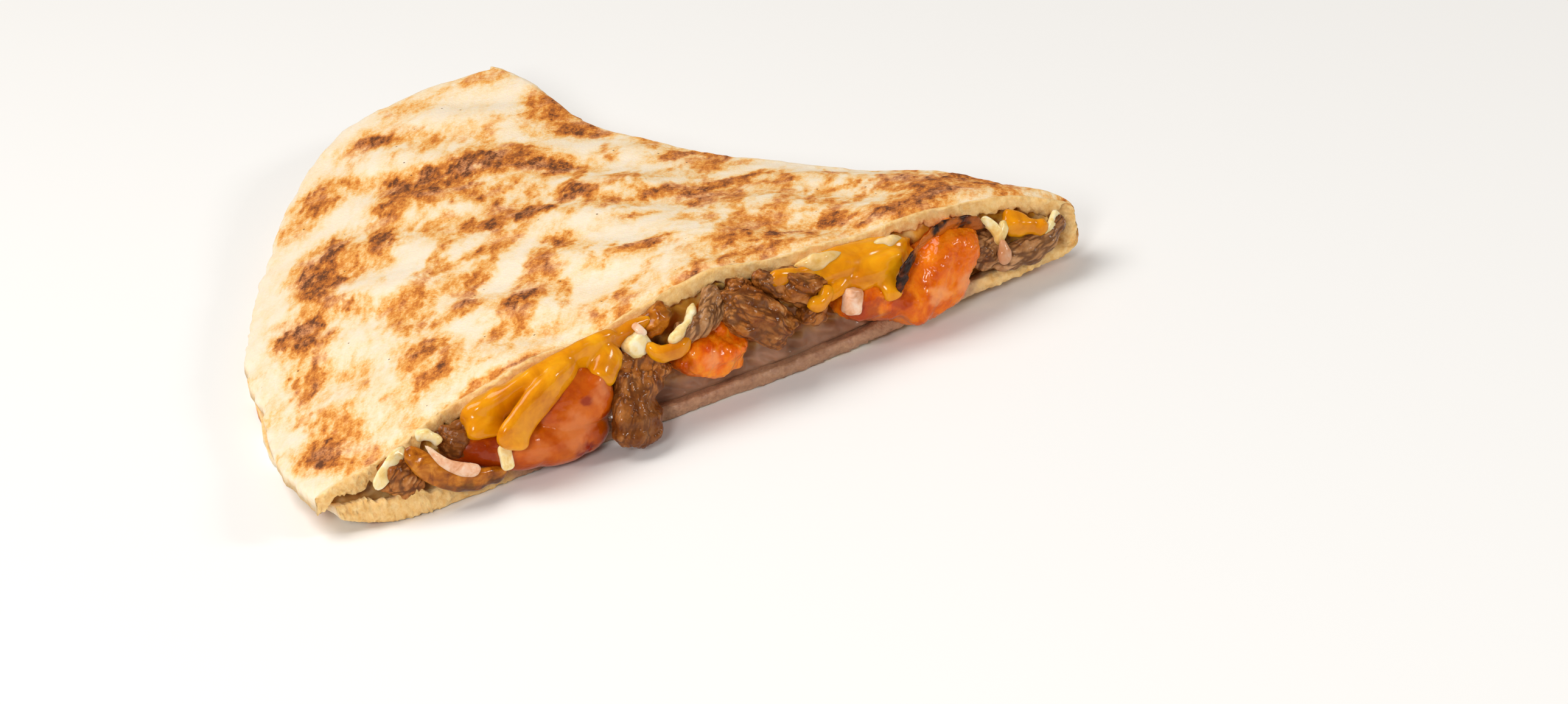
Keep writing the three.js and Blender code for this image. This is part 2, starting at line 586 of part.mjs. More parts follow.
/** The largest body of a solid, without the scraps that a cut leaves. */
function whole(solid) {
  return solid.decompose().reduce((best, body) => (body.volume() > best.volume() ? body : best));
}

function meshOf(name, solid, material) {
  const { vertProperties, triVerts } = solid.getMesh();
  const geometry = new THREE.BufferGeometry();
  geometry.setAttribute('position', new THREE.BufferAttribute(new Float32Array(vertProperties), 3));
  geometry.setIndex([...triVerts]);
  geometry.computeVertexNormals();
  const mesh = new THREE.Mesh(geometry, material);
  mesh.name = name;
  return mesh;
}

// Facets: rows from tip to rim, columns across a layer, turns round the fold, steps up the face
const [ROWS, COLUMNS, TURNS] = [24, 12, 6];
const [BED_ROWS, BED_COLUMNS, BED_FACES] = [16, 7, 3];

const wedge = new THREE.Group();
wedge.add(meshOf('tortilla', tortilla(ROWS, COLUMNS, TURNS), TORTILLA));
const keepOut = [tortilla(ROWS, COLUMNS, TURNS, GAP)];
for (const [name, material, form] of filling) {
  const body = keepOut.reduce((left, other) => left.subtract(other), form(0));
  wedge.add(meshOf(name, whole(body), material));
  keepOut.push(form(GAP));
}
const block = meltedBed(BED_ROWS, BED_COLUMNS, BED_FACES);
const bed = keepOut.slice(1).reduce((left, other) => left.subtract(other), block);
wedge.add(meshOf('melted_cheese', whole(bed), WHITE_CHEESE));

// The finished part stands with the middle of its footprint at the origin
const bounds = new THREE.Box3().setFromObject(wedge);
const middle = bounds.getCenter(new THREE.Vector3());
wedge.position.set(-middle.x, -middle.y, -bounds.min.z);

const quesadilla = new THREE.Group();
quesadilla.add(wedge);
export default quesadilla;
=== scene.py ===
"""A wedge of quesadilla: one griddled flour tortilla folded over shrimp, beef, onion and melted cheese."""

import logging
import math
from collections.abc import Sequence
from dataclasses import dataclass, field
from enum import IntEnum
from functools import lru_cache
from typing import NamedTuple

import bmesh
import bpy
import numpy as np
from mathutils import Matrix, Vector


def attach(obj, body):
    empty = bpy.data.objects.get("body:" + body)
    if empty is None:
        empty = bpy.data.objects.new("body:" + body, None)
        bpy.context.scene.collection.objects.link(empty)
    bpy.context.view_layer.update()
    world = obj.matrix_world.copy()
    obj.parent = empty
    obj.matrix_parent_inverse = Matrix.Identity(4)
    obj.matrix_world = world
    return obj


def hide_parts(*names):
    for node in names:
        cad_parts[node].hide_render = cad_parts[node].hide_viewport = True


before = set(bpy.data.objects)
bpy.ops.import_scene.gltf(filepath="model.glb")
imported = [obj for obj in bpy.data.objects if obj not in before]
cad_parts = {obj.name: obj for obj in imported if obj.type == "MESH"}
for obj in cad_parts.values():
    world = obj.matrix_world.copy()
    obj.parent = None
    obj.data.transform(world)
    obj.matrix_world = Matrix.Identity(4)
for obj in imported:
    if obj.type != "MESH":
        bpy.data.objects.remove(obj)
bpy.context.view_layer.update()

LOG = logging.getLogger("quesadilla")
MM = 0.001
BODY = "root"
# Keeps a direction of no length from being divided by zero
TINY = 1e-9
# How far above the table the lowest places are kept, in mm
TABLE_GAP = 0.01
# The tip corner of the wedge, in mm from the middle of its footprint. Everything below is placed from it.
TIP_CORNER = np.array([73.0757, -64.4397, 0.0])

Place = tuple[float, float, float]


# ---------------------------------------------------------------------------------------------
# Small mathematics


def smooth(value: np.ndarray | float, low: float, high: float) -> np.ndarray:
    """Returns a soft step from 0 at low to 1 at high."""
    t = np.clip((np.asarray(value) - low) / (high - low), 0, 1)
    return t * t * (3 - 2 * t)


def lerp(start: float, end: float, share: np.ndarray | float) -> np.ndarray | float:
    """Returns what lies at a share of the way from start to end."""
    return start + (end - start) * share


def over(first: np.ndarray, second: np.ndarray) -> np.ndarray:
    """Returns how dark a place is that is browned twice, where each share is from 0 to 1."""
    return 1 - (1 - first) * (1 - second)


def linear(code: str) -> tuple[float, float, float, float]:
    """Turns an sRGB hex colour into the linear RGBA that shaders take.

    Args:
        code: a colour such as "#e6c88f"

    Returns:
        The linear red, green and blue, and an alpha of 1.
    """
    parts = [int(code[n : n + 2], 16) / 255 for n in (1, 3, 5)]
    red, green, blue = ((p / 12.92 if p <= 0.04045 else ((p + 0.055) / 1.055) ** 2.4) for p in parts)
    return red, green, blue, 1.0


class Profile:
    """A smooth curve through stations of (place, value), flat beyond its ends."""

    def __init__(self, *stations: tuple[float, float]) -> None:
        """Works out the slope at each station from its two neighbours.

        Args:
            stations: places and values, in rising order of place
        """
        self.places, self.values = np.array(stations, float).T
        before = np.maximum(np.arange(len(stations)) - 1, 0)
        after = np.minimum(np.arange(len(stations)) + 1, len(stations) - 1)
        self.slopes = (self.values[after] - self.values[before]) / (self.places[after] - self.places[before])

    def __call__(self, place: np.ndarray | float) -> np.ndarray:
        """Reads the curve.

        Args:
            place: one place or more

        Returns:
            The curve's value at each place.
        """
        at = np.clip(place, self.places[0], self.places[-1])
        k = np.clip(np.searchsorted(self.places, at) - 1, 0, len(self.places) - 2)
        span = self.places[k + 1] - self.places[k]
        t = (at - self.places[k]) / span
        return (
            (1 + 2 * t) * (1 - t) ** 2 * self.values[k]
            + t * (1 - t) ** 2 * span * self.slopes[k]
            + t**2 * (3 - 2 * t) * self.values[k + 1]
            + t**2 * (t - 1) * span * self.slopes[k + 1]
        )


class Ripple:
    """A smooth uneven field from about -1 to 1: a few plane waves in random directions."""

    WAVES = 6

    def __init__(self, seed: int, wavelength: float) -> None:
        """Draws the waves.

        Args:
            seed: a different number gives a different field
            wavelength: the longest wave, in the units of the places
        """
        state = seed * 7919 + 17
        draws = []
        for _ in range(3 * self.WAVES):
            state = state * 16807 % 2147483647
            draws.append(state / 2147483647)
        rise, heading, phase = np.array(draws).reshape(self.WAVES, 3).T
        rise = 2 * rise - 1
        heading = 2 * math.pi * heading
        flat = np.sqrt(1 - rise**2)
        push = np.stack([flat * np.cos(heading), flat * np.sin(heading), rise], axis=1)
        self.push = push * (2 * math.pi * (1 + np.arange(self.WAVES) / 5) / wavelength)[:, None]
        self.phase = 6 * phase

    def __call__(self, places: np.ndarray) -> np.ndarray:
        """Returns the field at each place, for places of any shape that ends in 3."""
        return np.sin(places @ self.push.T + self.phase).sum(axis=-1) / 3


class Noise:
    """Gradient noise from about -1 to 1, the same on every run."""

    def __init__(self, seed: int) -> None:
        """Draws the lattice's directions.

        Args:
            seed: a different number gives a different pattern
        """
        draw = np.random.default_rng(seed)
        self._order = draw.permutation(256)
        ways = draw.normal(size=(256, 3))
        self._ways = ways / np.linalg.norm(ways, axis=1, keepdims=True)

    def __call__(self, places: np.ndarray, wave: float) -> np.ndarray:
        """Reads the noise.

        Args:
            places: an array of places, of any shape that ends in 3
            wave: the lattice's step, in the places' units

        Returns:
            One value for each place.
        """
        at = places.reshape(-1, 3) / wave
        cell = np.floor(at).astype(int)
        part = at - cell
        ease = part**3 * (part * (part * 6 - 15) + 10)
        total = np.zeros(len(at))
        for corner in np.ndindex(2, 2, 2):
            x, y, z = (cell + corner).T & 255
            way = self._ways[self._order[(z + self._order[(y + self._order[x]) & 255]) & 255]]
            weight = np.prod(np.where(corner, ease, 1 - ease), axis=1)
            total += weight * ((part - corner) * way).sum(axis=1)
        return 1.7 * total.reshape(places.shape[:-1])

    def layered(self, places: np.ndarray, wave: float, layers: int = 4, fall: float = 0.5) -> np.ndarray:
        """Sums the noise over octaves.

        Args:
            places: an array of places, of any shape that ends in 3
            wave: the first octave's step
            layers: how many octaves
            fall: how much weaker each octave is than the one before

        Returns:
            One value for each place.
        """
        return sum(fall**n * self(places + 31.7 * n, wave / 2**n) for n in range(layers))

    def cells(self, places: np.ndarray, wave: float) -> np.ndarray:
        """Reads uneven cells.

        Args:
            places: an array of places, of any shape that ends in 3
            wave: the cells' usual size, in the places' units

        Returns:
            0 on the borders between cells, and up to about 1 in their middles.
        """
        at = places.reshape(-1, 3) / wave
        cell = np.floor(at).astype(int)
        nearest, second = np.full(len(at), 9.0), np.full(len(at), 9.0)
        for corner in np.ndindex(3, 3, 3):
            beside = cell + corner - 1
            x, y, z = beside.T & 255
            way = self._ways[self._order[(z + self._order[(y + self._order[x]) & 255]) & 255]]
            away = np.linalg.norm(at - beside - 0.5 - 0.45 * way, axis=1)
            second = np.minimum(second, np.maximum(nearest, away))
            nearest = np.minimum(nearest, away)
        return (second - nearest).reshape(places.shape[:-1])


def drawn_out(places: np.ndarray, grain: Place, stretch: float) -> np.ndarray:
    """Squeezes places along a grain, so that noise read there is drawn out along it.

    Args:
        places: an array of places, of any shape that ends in 3
        grain: the direction of the grain
        stretch: how many times longer than wide the pattern gets

    Returns:
        The squeezed places.
    """
    way = np.array(grain, float) / np.linalg.norm(grain)
    return places - (1 - 1 / stretch) * (places @ way)[..., None] * way


# ---------------------------------------------------------------------------------------------
# Meshes


class Shell(NamedTuple):
    """The points, in mm from the tip corner, and faces of a closed surface."""

    points: np.ndarray
    faces: list[tuple[int, ...]]


def joined(shells: Sequence[Shell]) -> Shell:
    """Puts shells into one.

    Args:
        shells: surfaces, which may overlap

    Returns:
        One shell, not melted together.
    """
    faces: list[tuple[int, ...]] = []
    start = 0
    for shell in shells:
        faces += [tuple(start + n for n in face) for face in shell.faces]
        start += len(shell.points)
    return Shell(np.vstack([shell.points for shell in shells]), faces)


def mesh_object(name: str, shell: Shell) -> bpy.types.Object:
    """Makes an object from a shell, in the shell's own mm.

    Args:
        name: the object's name
        shell: its surface

    Returns:
        The object, linked to the scene.
    """
    mesh = bpy.data.meshes.new(name)
    mesh.from_pydata(shell.points.tolist(), [], shell.faces)
    mesh.update()
    piece = bpy.data.objects.new(name, mesh)
    bpy.context.scene.collection.objects.link(piece)
    return piece


def coordinates(mesh: bpy.types.Mesh) -> np.ndarray:
    """Reads a mesh's vertices.

    Args:
        mesh: the mesh

    Returns:
        Their places, in a row each.
    """
    flat = np.empty(3 * len(mesh.vertices), np.float32)
    mesh.vertices.foreach_get("co", flat)
    return flat.reshape(-1, 3).astype(float)


def normals(mesh: bpy.types.Mesh) -> np.ndarray:
    """Reads which way a mesh faces.

    Args:
        mesh: the mesh

    Returns:
        Each vertex's direction, in a row each.
    """
    flat = np.empty(3 * len(mesh.vertices), np.float32)
    mesh.vertex_normals.foreach_get("vector", flat)
    return flat.reshape(-1, 3).astype(float)


def set_coordinates(mesh: bpy.types.Mesh, places: np.ndarray) -> None:
    """Moves a mesh's vertices to the places."""
    mesh.vertices.foreach_set("co", places.astype(np.float32).ravel())
    mesh.update()


def paint(mesh: bpy.types.Mesh, name: str, values: np.ndarray) -> None:
    """Gives a mesh one number for each vertex, for its material to read."""
    layer = mesh.attributes.new(name, "FLOAT", "POINT")
    layer.data.foreach_set("value", np.clip(values, 0, 1).astype(np.float32).ravel())


def melted(name: str, shells: Sequence[Shell], voxel: float, ironing: int) -> bpy.types.Object:
    """Melts overlapping shells into one closed skin of even facets.

    Args:
        name: the object's name
        shells: the surfaces to melt together
        voxel: the size of the new facets, in mm
        ironing: how many times the skin is smoothed

    Returns:
        The object, in mm.
    """
    source = mesh_object(name + "_raw", joined(shells))
    remesh = source.modifiers.new("melt", "REMESH")
    remesh.mode = "VOXEL"
    remesh.voxel_size = voxel
    soften = source.modifiers.new("soften", "SMOOTH")
    soften.factor = 0.5
    soften.iterations = ironing
    bpy.context.view_layer.update()
    depsgraph = bpy.context.evaluated_depsgraph_get()
    mesh = bpy.data.meshes.new_from_object(source.evaluated_get(depsgraph))
    mesh.name = name
    piece = bpy.data.objects.new(name, mesh)
    bpy.context.scene.collection.objects.link(piece)
    bpy.data.objects.remove(source)
    return piece


def place(piece: bpy.types.Object) -> None:
    """Turns a piece's mm from the tip corner into the part's metres, flattened where it rests.

    Args:
        piece: the piece, which is changed
    """
    places = coordinates(piece.data) + TIP_CORNER
    places[:, 2] = np.maximum(places[:, 2], TABLE_GAP)
    set_coordinates(piece.data, places * MM)
    piece.data.shade_smooth()


@lru_cache
def unit_ball(cuts: int) -> Shell:
    """Makes a ball of even triangles.

    Args:
        cuts: how often they are cut up

    Returns:
        A ball of radius 1.
    """
    ball = bmesh.new()
    bmesh.ops.create_icosphere(ball, subdivisions=cuts, radius=1)
    points = np.array([vertex.co for vertex in ball.verts], float)
    faces = [tuple(vertex.index for vertex in face.verts) for face in ball.faces]
    ball.free()
    return Shell(points, faces)


def spline(path: Sequence[Place], share: np.ndarray) -> np.ndarray:
    """Reads a centripetal Catmull-Rom curve.

    Args:
        path: the points that it runs through
        share: how far along each place is, from 0 to 1

    Returns:
        One place for each share.
    """
    knots = np.array(path, float)
    knots = np.vstack([2 * knots[0] - knots[1], knots, 2 * knots[-1] - knots[-2]])
    spans = len(path) - 1
    first = np.clip((share * spans).astype(int), 0, spans - 1)
    t = (share * spans - first)[:, None]
    p0, p1, p2, p3 = (knots[first + k] for k in range(4))
    pairs = ((p0, p1), (p1, p2), (p2, p3))
    d0, d1, d2 = (np.linalg.norm(b - a, axis=1, keepdims=True) ** 0.5 for a, b in pairs)
    leave = ((p1 - p0) / d0 - (p2 - p0) / (d0 + d1) + (p2 - p1) / d1) * d1
    arrive = ((p2 - p1) / d1 - (p3 - p1) / (d1 + d2) + (p3 - p2) / d2) * d1
    curve = p1 + leave * t + (3 * (p2 - p1) - 2 * leave - arrive) * t**2
    return curve + (2 * (p1 - p2) + leave + arrive) * t**3


def square_norm(parts: np.ndarray, square: float) -> np.ndarray:
    """Returns the length of vectors under a norm that is round at 2 and boxier above it."""
    return (np.abs(parts) ** square).sum(axis=-1, keepdims=True) ** (1 / square)


@dataclass(frozen=True)
class Chunk:
    """A rounded, uneven chunk.

    Args:
        at: its middle, in mm from the tip corner
        size: its full extent in mm
        turn: how far it is turned about each axis, in degrees
        seed: a different number gives different unevenness
        rough: how uneven it is, as a share of its size
        square: 2 is an ellipsoid, and more is boxier
        wave: how long its swells are, where 1 is half its size
    """

    at: Place
    size: Place
    turn: Place = (0, 0, 0)
    seed: int = 1
    rough: float = 0.1
    square: float = 2.6
    wave: float = 1.1

    def shell(self) -> Shell:
        """Returns the chunk's skin."""
        ball = unit_ball(5)
        half = np.array(self.size) / 2
        skin = ball.points / square_norm(ball.points, self.square) * half
        skin *= 1 + self.rough * Ripple(self.seed, self.wave)(ball.points)[:, None]
        roll, pitch, yaw = (Matrix.Rotation(math.radians(a), 3, axis) for a, axis in zip(self.turn, "XYZ"))
        turned = skin @ np.array(roll @ pitch @ yaw).T
        return Shell(turned + self.at, ball.faces)


@dataclass(frozen=True)
class Strip:
    """A round-ended strip along a path.

    Args:
        path: the points that it runs through, in mm from the tip corner
        wide, thick: its width and thickness in mm
        girth: what both are multiplied by, at stations spread evenly along it
        up: about which way its flat side faces
        square: 2 is an elliptic section, and more is boxier
        seed: a different number gives different unevenness
        rough: how uneven it is, as a share of its thickness
        wave: how long its swells are, in mm
        blunt: how blunt its ends are
        rings, sides: facets along it and round it
    """

    path: tuple[Place, ...]
    wide: float
    thick: float
    girth: tuple[float, ...] = (1.0, 1.0)
    up: Place = (0, 1, 0)
    square: float = 2.4
    seed: int = 1
    rough: float = 0.0
    wave: float = 6.0
    blunt: float = 7.0
    rings: int = 60
    sides: int = 28

    def shell(self) -> Shell:
        """Returns the strip's skin."""
        t = (1 - np.cos(math.pi * np.arange(1, self.rings) / self.rings)) / 2
        centre = spline(self.path, t)
        along = spline(self.path, np.minimum(t + 1e-3, 1)) - spline(self.path, np.maximum(t - 1e-3, 0))
        side = np.cross(np.array(self.up, float), along)
        side /= np.linalg.norm(side, axis=1, keepdims=True)
        flat = np.cross(along, side)
        flat /= np.linalg.norm(flat, axis=1, keepdims=True)
        girth = np.interp(t, np.linspace(0, 1, len(self.girth)), self.girth)
        round_off = np.sqrt(1 - np.abs(2 * t - 1) ** self.blunt) * girth
        angle = 2 * math.pi * (np.arange(self.sides) + 0.5) / self.sides
        ring = np.stack([np.cos(angle), np.sin(angle)], axis=1)
        ring /= square_norm(ring, self.square)
        across = ring[:, 0] * self.wide / 2 * round_off[:, None]
        through = ring[:, 1] * self.thick / 2 * round_off[:, None]
        out = across[..., None] * side[:, None] + through[..., None] * flat[:, None]
        skin = centre[:, None] + out
        skin += out * self.rough * Ripple(self.seed, self.wave)(skin)[..., None]
        ends = spline(self.path, np.array([0.0, 1.0]))
        points = np.vstack([skin.reshape(-1, 3), ends])
        return Shell(points, tube_faces(self.rings - 1, self.sides))


def tube_faces(rows: int, across: int) -> list[tuple[int, ...]]:
    """Lists the faces of a tube of closed rings, whose ends are closed to one point each.

    Args:
        rows: how many rings
        across: how many points are in a ring

    Returns:
        The faces, where the points of the two ends come after all the rings.
    """
    faces = []
    for row in range(rows - 1):
        for n in range(across):
            here, beside = row * across + n, row * across + (n + 1) % across
            faces.append((here, beside, beside + across, here + across))
    last = rows * across
    for n in range(across):
        beside = (n + 1) % across
        faces.append((last, beside, n))
        faces.append((last + 1, last - across + n, last - across + beside))
    return faces


# ---------------------------------------------------------------------------------------------
# Materials


def add_node(
    tree: bpy.types.NodeTree,
    kind: str,
    settings: dict[str | int, object] | None = None,
    links: dict[str | int, bpy.types.NodeSocket] | None = None,
) -> bpy.types.Node:
    """Adds a shader node, sets it up and links its inputs.

    Args:
        tree: the material's node tree
        kind: the node's type, without the ShaderNode in front
        settings: its properties by name, its inputs' values by name or number, and a ramp's "stops"
        links: what each input, by name or number, is linked to

    Returns:
        The node.
    """
    node = tree.nodes.new("ShaderNode" + kind)
    for name, value in (settings or {}).items():
        if name == "stops":
            for n, (position, code) in enumerate(value):
                stop = node.color_ramp.elements[n] if n < 2 else node.color_ramp.elements.new(position)
                stop.position = position
                stop.color = linear(code)
        elif isinstance(name, str) and hasattr(node, name):
            setattr(node, name, value)
        else:
            node.inputs[name].default_value = value
    for name, socket in (links or {}).items():
        tree.links.new(socket, node.inputs[name])
    return node


def new_material(name: str) -> tuple[bpy.types.Material, bpy.types.NodeTree]:
    """Starts a material.

    Args:
        name: its name

    Returns:
        The material, with no nodes yet, and its node tree.
    """
    material = bpy.data.materials.new(name)
    material.use_nodes = True
    material.node_tree.nodes.clear()
    return material, material.node_tree


class Mix(IntEnum):
    """Numbers of a Mix node's sockets for colours."""

    FACTOR = 0
    FIRST = 6
    SECOND = 7
    RESULT = 2


@dataclass(frozen=True)
class GriddledTortilla:
    """Flour tortilla, rolled and griddled.

    The crust is dry and floury: matte, cream, and scorched in patches from gold to nearly black. Where it is
    cut or faces the filling it is steamed dough: pale gold, damp and a little translucent.

    Args:
        name: what it is
        scorch: the crust's colours, from untouched to nearly black
        flour: the colour of the dusting left on pale crust
        dough: the colours of clean dough, darkened in part as painted shade on the cut faces
        damp: the colours of dough that soaked up more and more juice, whose darker stops are partly painted
            shade
        speck: the colour of bran specks
        fibre_mm: how wide the crust's drawn-out fibres are
        flour_mm: how wide the dusting's clouds are
        grain_mm: the size of the crust's grain, drawn as coarse as it needs to show
        speck_mm: how far apart specks are
        stroke_turn, stroke_length: which way the fibres run, and how much longer than wide they are
    """

    name: str = "griddled_flour_tortilla"
    scorch: tuple[tuple[float, str], ...] = (
        (0.0, "#f7e7cf"), (0.14, "#f7deb6"), (0.28, "#f5c886"), (0.42, "#eca54e"),
        (0.56, "#d8832f"), (0.70, "#be6c24"), (0.84, "#9c561e"), (1.0, "#693918"),
    )
    flour: str = "#fbf0dc"
    dough: tuple[tuple[float, str], ...] = ((0.3, "#e4ae5e"), (0.65, "#f6d294"))
    damp: tuple[tuple[float, str], ...] = (
        (0.1, "#f0cd94"), (0.35, "#c89c7a"), (0.6, "#9c7056"), (0.9, "#84401c"),
    )
    speck: str = "#6a3f26"
    fibre_mm: float = 1.2
    flour_mm: float = 7.0
    grain_mm: float = 0.55
    speck_mm: float = 5.0
    stroke_turn: float = math.radians(55)
    stroke_length: float = 2.4

    def material(self) -> bpy.types.Material:
        """Builds the material, which reads the vertex layers toast, crust, damp and juice, where juice
        carries painted shade as well.

        Returns:
            The material.
        """
        material, tree = new_material(self.name)
        where = add_node(tree, "TexCoord").outputs["Object"]
        toast, crust, damp, juice = (
            add_node(tree, "Attribute", {"attribute_name": layer}).outputs["Fac"]
            for layer in ("toast", "crust", "damp", "juice")
        )
        strokes = add_node(
            tree,
            "Mapping",
            {
                "vector_type": "TEXTURE",
                "Rotation": (0, 0, self.stroke_turn),
                "Scale": (self.stroke_length, 1, 1),
            },
            {"Vector": where},
        ).outputs["Vector"]
        patterns = (
            (self.fibre_mm, 6, 0.65, strokes), (self.grain_mm, 3, 0.6, where), (self.flour_mm, 5, 0.6, where),
        )
        fibre, grain, flour = (
            add_node(
                tree,
                "TexNoise",
                {"Scale": 1 / (size * MM), "Detail": detail, "Roughness": rough},
                {"Vector": at},
            ).outputs["Fac"]
            for size, detail, rough, at in patterns
        )
        scaled_sum: dict[str | int, object] = {"operation": "MULTIPLY_ADD"}
        product: dict[str | int, object] = {"operation": "MULTIPLY"}

        # Scorching follows the fibres of the crust most where it is strong
        woven = add_node(tree, "Math", {**scaled_sum, 1: 1.1, 2: -1.6}, {0: grain}).outputs[0]
        uneven = add_node(tree, "Math", {**scaled_sum, 1: 2.1}, {0: fibre, 2: woven}).outputs[0]
        depth = add_node(tree, "Math", {**scaled_sum, 1: 0.75, 2: 0.12}, {0: toast}).outputs[0]
        shift = add_node(tree, "Math", product, {0: uneven, 1: depth}).outputs[0]
        scorched = add_node(
            tree, "Math", {"operation": "ADD", "use_clamp": True}, {0: toast, 1: shift}
        ).outputs[0]
        crust_colour = add_node(tree, "ValToRGB", {"stops": self.scorch}, {"Fac": scorched}).outputs["Color"]

        # Flour lies in clouds where nothing is scorched, and specks lie everywhere
        clouds = add_node(
            tree, "MapRange", {"From Min": 0.5, "From Max": 0.75, "To Max": 0.55}, {"Value": flour}
        ).outputs["Result"]
        pale = add_node(
            tree, "Math", {"operation": "SUBTRACT", 0: 1.0, "use_clamp": True}, {1: scorched}
        ).outputs[0]
        dusted = add_node(tree, "Math", product, {0: clouds, 1: pale}).outputs[0]
        bran = add_node(
            tree, "TexVoronoi", {"Scale": 1 / (self.speck_mm * MM), "Randomness": 1.0}, {"Vector": where}
        ).outputs["Distance"]
        specked = add_node(
            tree, "MapRange", {"From Min": 0.05, "From Max": 0.03}, {"Value": bran}
        ).outputs["Result"]
        for share, code in ((dusted, self.flour), (specked, self.speck)):
            crust_colour = add_node(
                tree,
                "Mix",
                {"data_type": "RGBA", Mix.SECOND: linear(code)},
                {Mix.FACTOR: share, Mix.FIRST: crust_colour},
            ).outputs[Mix.RESULT]

        # Clean dough, then damp dough, then crust
        # Clean dough on the cut faces, in colours partly darkened as painted shade
        colour = add_node(tree, "ValToRGB", {"stops": self.dough}, {"Fac": fibre}).outputs["Color"]
        # The juice layer picks the damp colour, and carries painted shade under the filling as well as juice
        soaked = add_node(tree, "Math", {**scaled_sum, 1: 0.2}, {0: uneven, 2: juice}).outputs[0]
        damp_and_shaded_colour = add_node(tree, "ValToRGB", {"stops": self.damp}, {"Fac": soaked}).outputs["Color"]
        for share, other in ((damp, damp_and_shaded_colour), (crust, crust_colour)):
            colour = add_node(
                tree, "Mix", {"data_type": "RGBA"}, {Mix.FACTOR: share, Mix.FIRST: colour, Mix.SECOND: other}
            ).outputs[Mix.RESULT]

        shine = add_node(tree, "MapRange", {"To Min": 0.72, "To Max": 0.3}, {"Value": damp}).outputs["Result"]
        crisp = add_node(tree, "Math", product, {0: fibre, 1: toast}).outputs[0]
        height = add_node(tree, "Math", {**scaled_sum, 1: 2.2}, {0: crisp, 2: grain}).outputs[0]
        bump = add_node(tree, "Bump", {"Strength": 0.8, "Distance": 0.22 * MM}, {"Height": height})
        shader = add_node(
            tree,
            "BsdfPrincipled",
            {
                "IOR": 1.45,
                "Subsurface Weight": 0.12,
                "Subsurface Radius": (1.0, 0.55, 0.25),
                "Subsurface Scale": 1.5 * MM,
                "Specular IOR Level": 0.4,
            },
            {"Base Color": colour, "Roughness": shine, "Normal": bump.outputs["Normal"]},
        )
        add_node(tree, "OutputMaterial", {}, {"Surface": shader.outputs[0]})
        return material


@dataclass(frozen=True)
class MoistFood:
    """Cooked, wet food: mottled flesh or curd that light goes into, under a film of juice or fat.

    Args:
        name: what it is
        shades: dark, middle and light colours of its patches
        stain: the colour where its stain layer is full
        pale: the colour where its pale layer is full
        patch_mm: how large its patches are
        grain_mm: the size of its finest bumps, drawn as coarse as they need to show
        grain_depth_mm: how deep those are
        roughness: of the flesh itself
        film: how much of it a film of juice covers
        scatter: how much of the light goes in
        scatter_mm: how far that light goes in
        glow: the colour that is left of that light
    """

    name: str
    shades: tuple[str, str, str]
    stain: str
    pale: str
    patch_mm: float = 2.5
    grain_mm: float = 0.7
    grain_depth_mm: float = 0.06
    roughness: float = 0.4
    film: float = 0.5
    scatter: float = 0.3
    scatter_mm: float = 1.5
    glow: tuple[float, float, float] = (1.0, 0.45, 0.2)

    def material(self) -> bpy.types.Material:
        """Builds the material, which reads the vertex layers stain and pale.

        Returns:
            The material.
        """
        material, tree = new_material(self.name)
        where = add_node(tree, "TexCoord").outputs["Object"]
        patches = add_node(
            tree,
            "TexNoise",
            {"Scale": 1 / (self.patch_mm * MM), "Detail": 5, "Roughness": 0.6, "Distortion": 0.6},
            {"Vector": where},
        ).outputs["Fac"]
        dark, middle, light = self.shades
        stops = [(0.32, dark), (0.7, light), (0.5, middle)]
        colour = add_node(tree, "ValToRGB", {"stops": stops}, {"Fac": patches}).outputs["Color"]
        for layer, code in (("stain", self.stain), ("pale", self.pale)):
            share = add_node(tree, "Attribute", {"attribute_name": layer}).outputs["Fac"]
            colour = add_node(
                tree,
                "Mix",
                {"data_type": "RGBA", Mix.SECOND: linear(code)},
                {Mix.FACTOR: share, Mix.FIRST: colour},
            ).outputs[Mix.RESULT]
        grain = add_node(
            tree,
            "TexNoise",
            {"Scale": 1 / (self.grain_mm * MM), "Detail": 4, "Roughness": 0.55},
            {"Vector": where},
        ).outputs["Fac"]
        relief = {"Strength": 1.0, "Distance": self.grain_depth_mm * MM}
        bump = add_node(tree, "Bump", relief, {"Height": grain})
        shader = add_node(
            tree,
            "BsdfPrincipled",
            {
                "Roughness": self.roughness,
                "IOR": 1.33,
                "Specular IOR Level": 0.15,
                "Subsurface Weight": self.scatter,
                "Subsurface Radius": self.glow,
                "Subsurface Scale": self.scatter_mm * MM,
                "Coat Weight": self.film,
                "Coat Roughness": 0.1,
                "Coat IOR": 1.33,
            },
            {"Base Color": colour, "Normal": bump.outputs["Normal"]},
        )
        add_node(tree, "OutputMaterial", {}, {"Surface": shader.outputs[0]})
        return material


# Boiled-through shrimp in chilli oil: salmon flesh, smooth and glossy, with red-brown oily spots
SALMON_SHRIMP = MoistFood(
    "shrimp_in_oil", ("#a43a00", "#be5202", "#d26a12"), "#8c2200", "#de8448",
    patch_mm=6, grain_mm=1.3, grain_depth_mm=0.16, roughness=0.3, film=0.8, scatter=0.3, scatter_mm=1.5,
)
# Shrimp dredged in chilli sauce: a hot orange-red and finely pimpled
SAUCED_SHRIMP = MoistFood(
    "shrimp_in_chilli_sauce", ("#d84e00", "#ee7204", "#f5961e"), "#a83204", "#f4a468",
    patch_mm=3, grain_mm=1.1, grain_depth_mm=0.22, roughness=0.3, film=0.8, scatter=0.3, scatter_mm=1.5,
)
# Griddled shrimp: orange, wrinkled where it shrank, redder where the sauce pooled
WRINKLED_SHRIMP = MoistFood(
    "griddled_shrimp", ("#cc5000", "#e46e00", "#f28e14"), "#9c2a00", "#f6ae70",
    patch_mm=4, grain_mm=1.1, grain_depth_mm=0.24, roughness=0.32, film=0.9, scatter=0.3, scatter_mm=1.5,
)
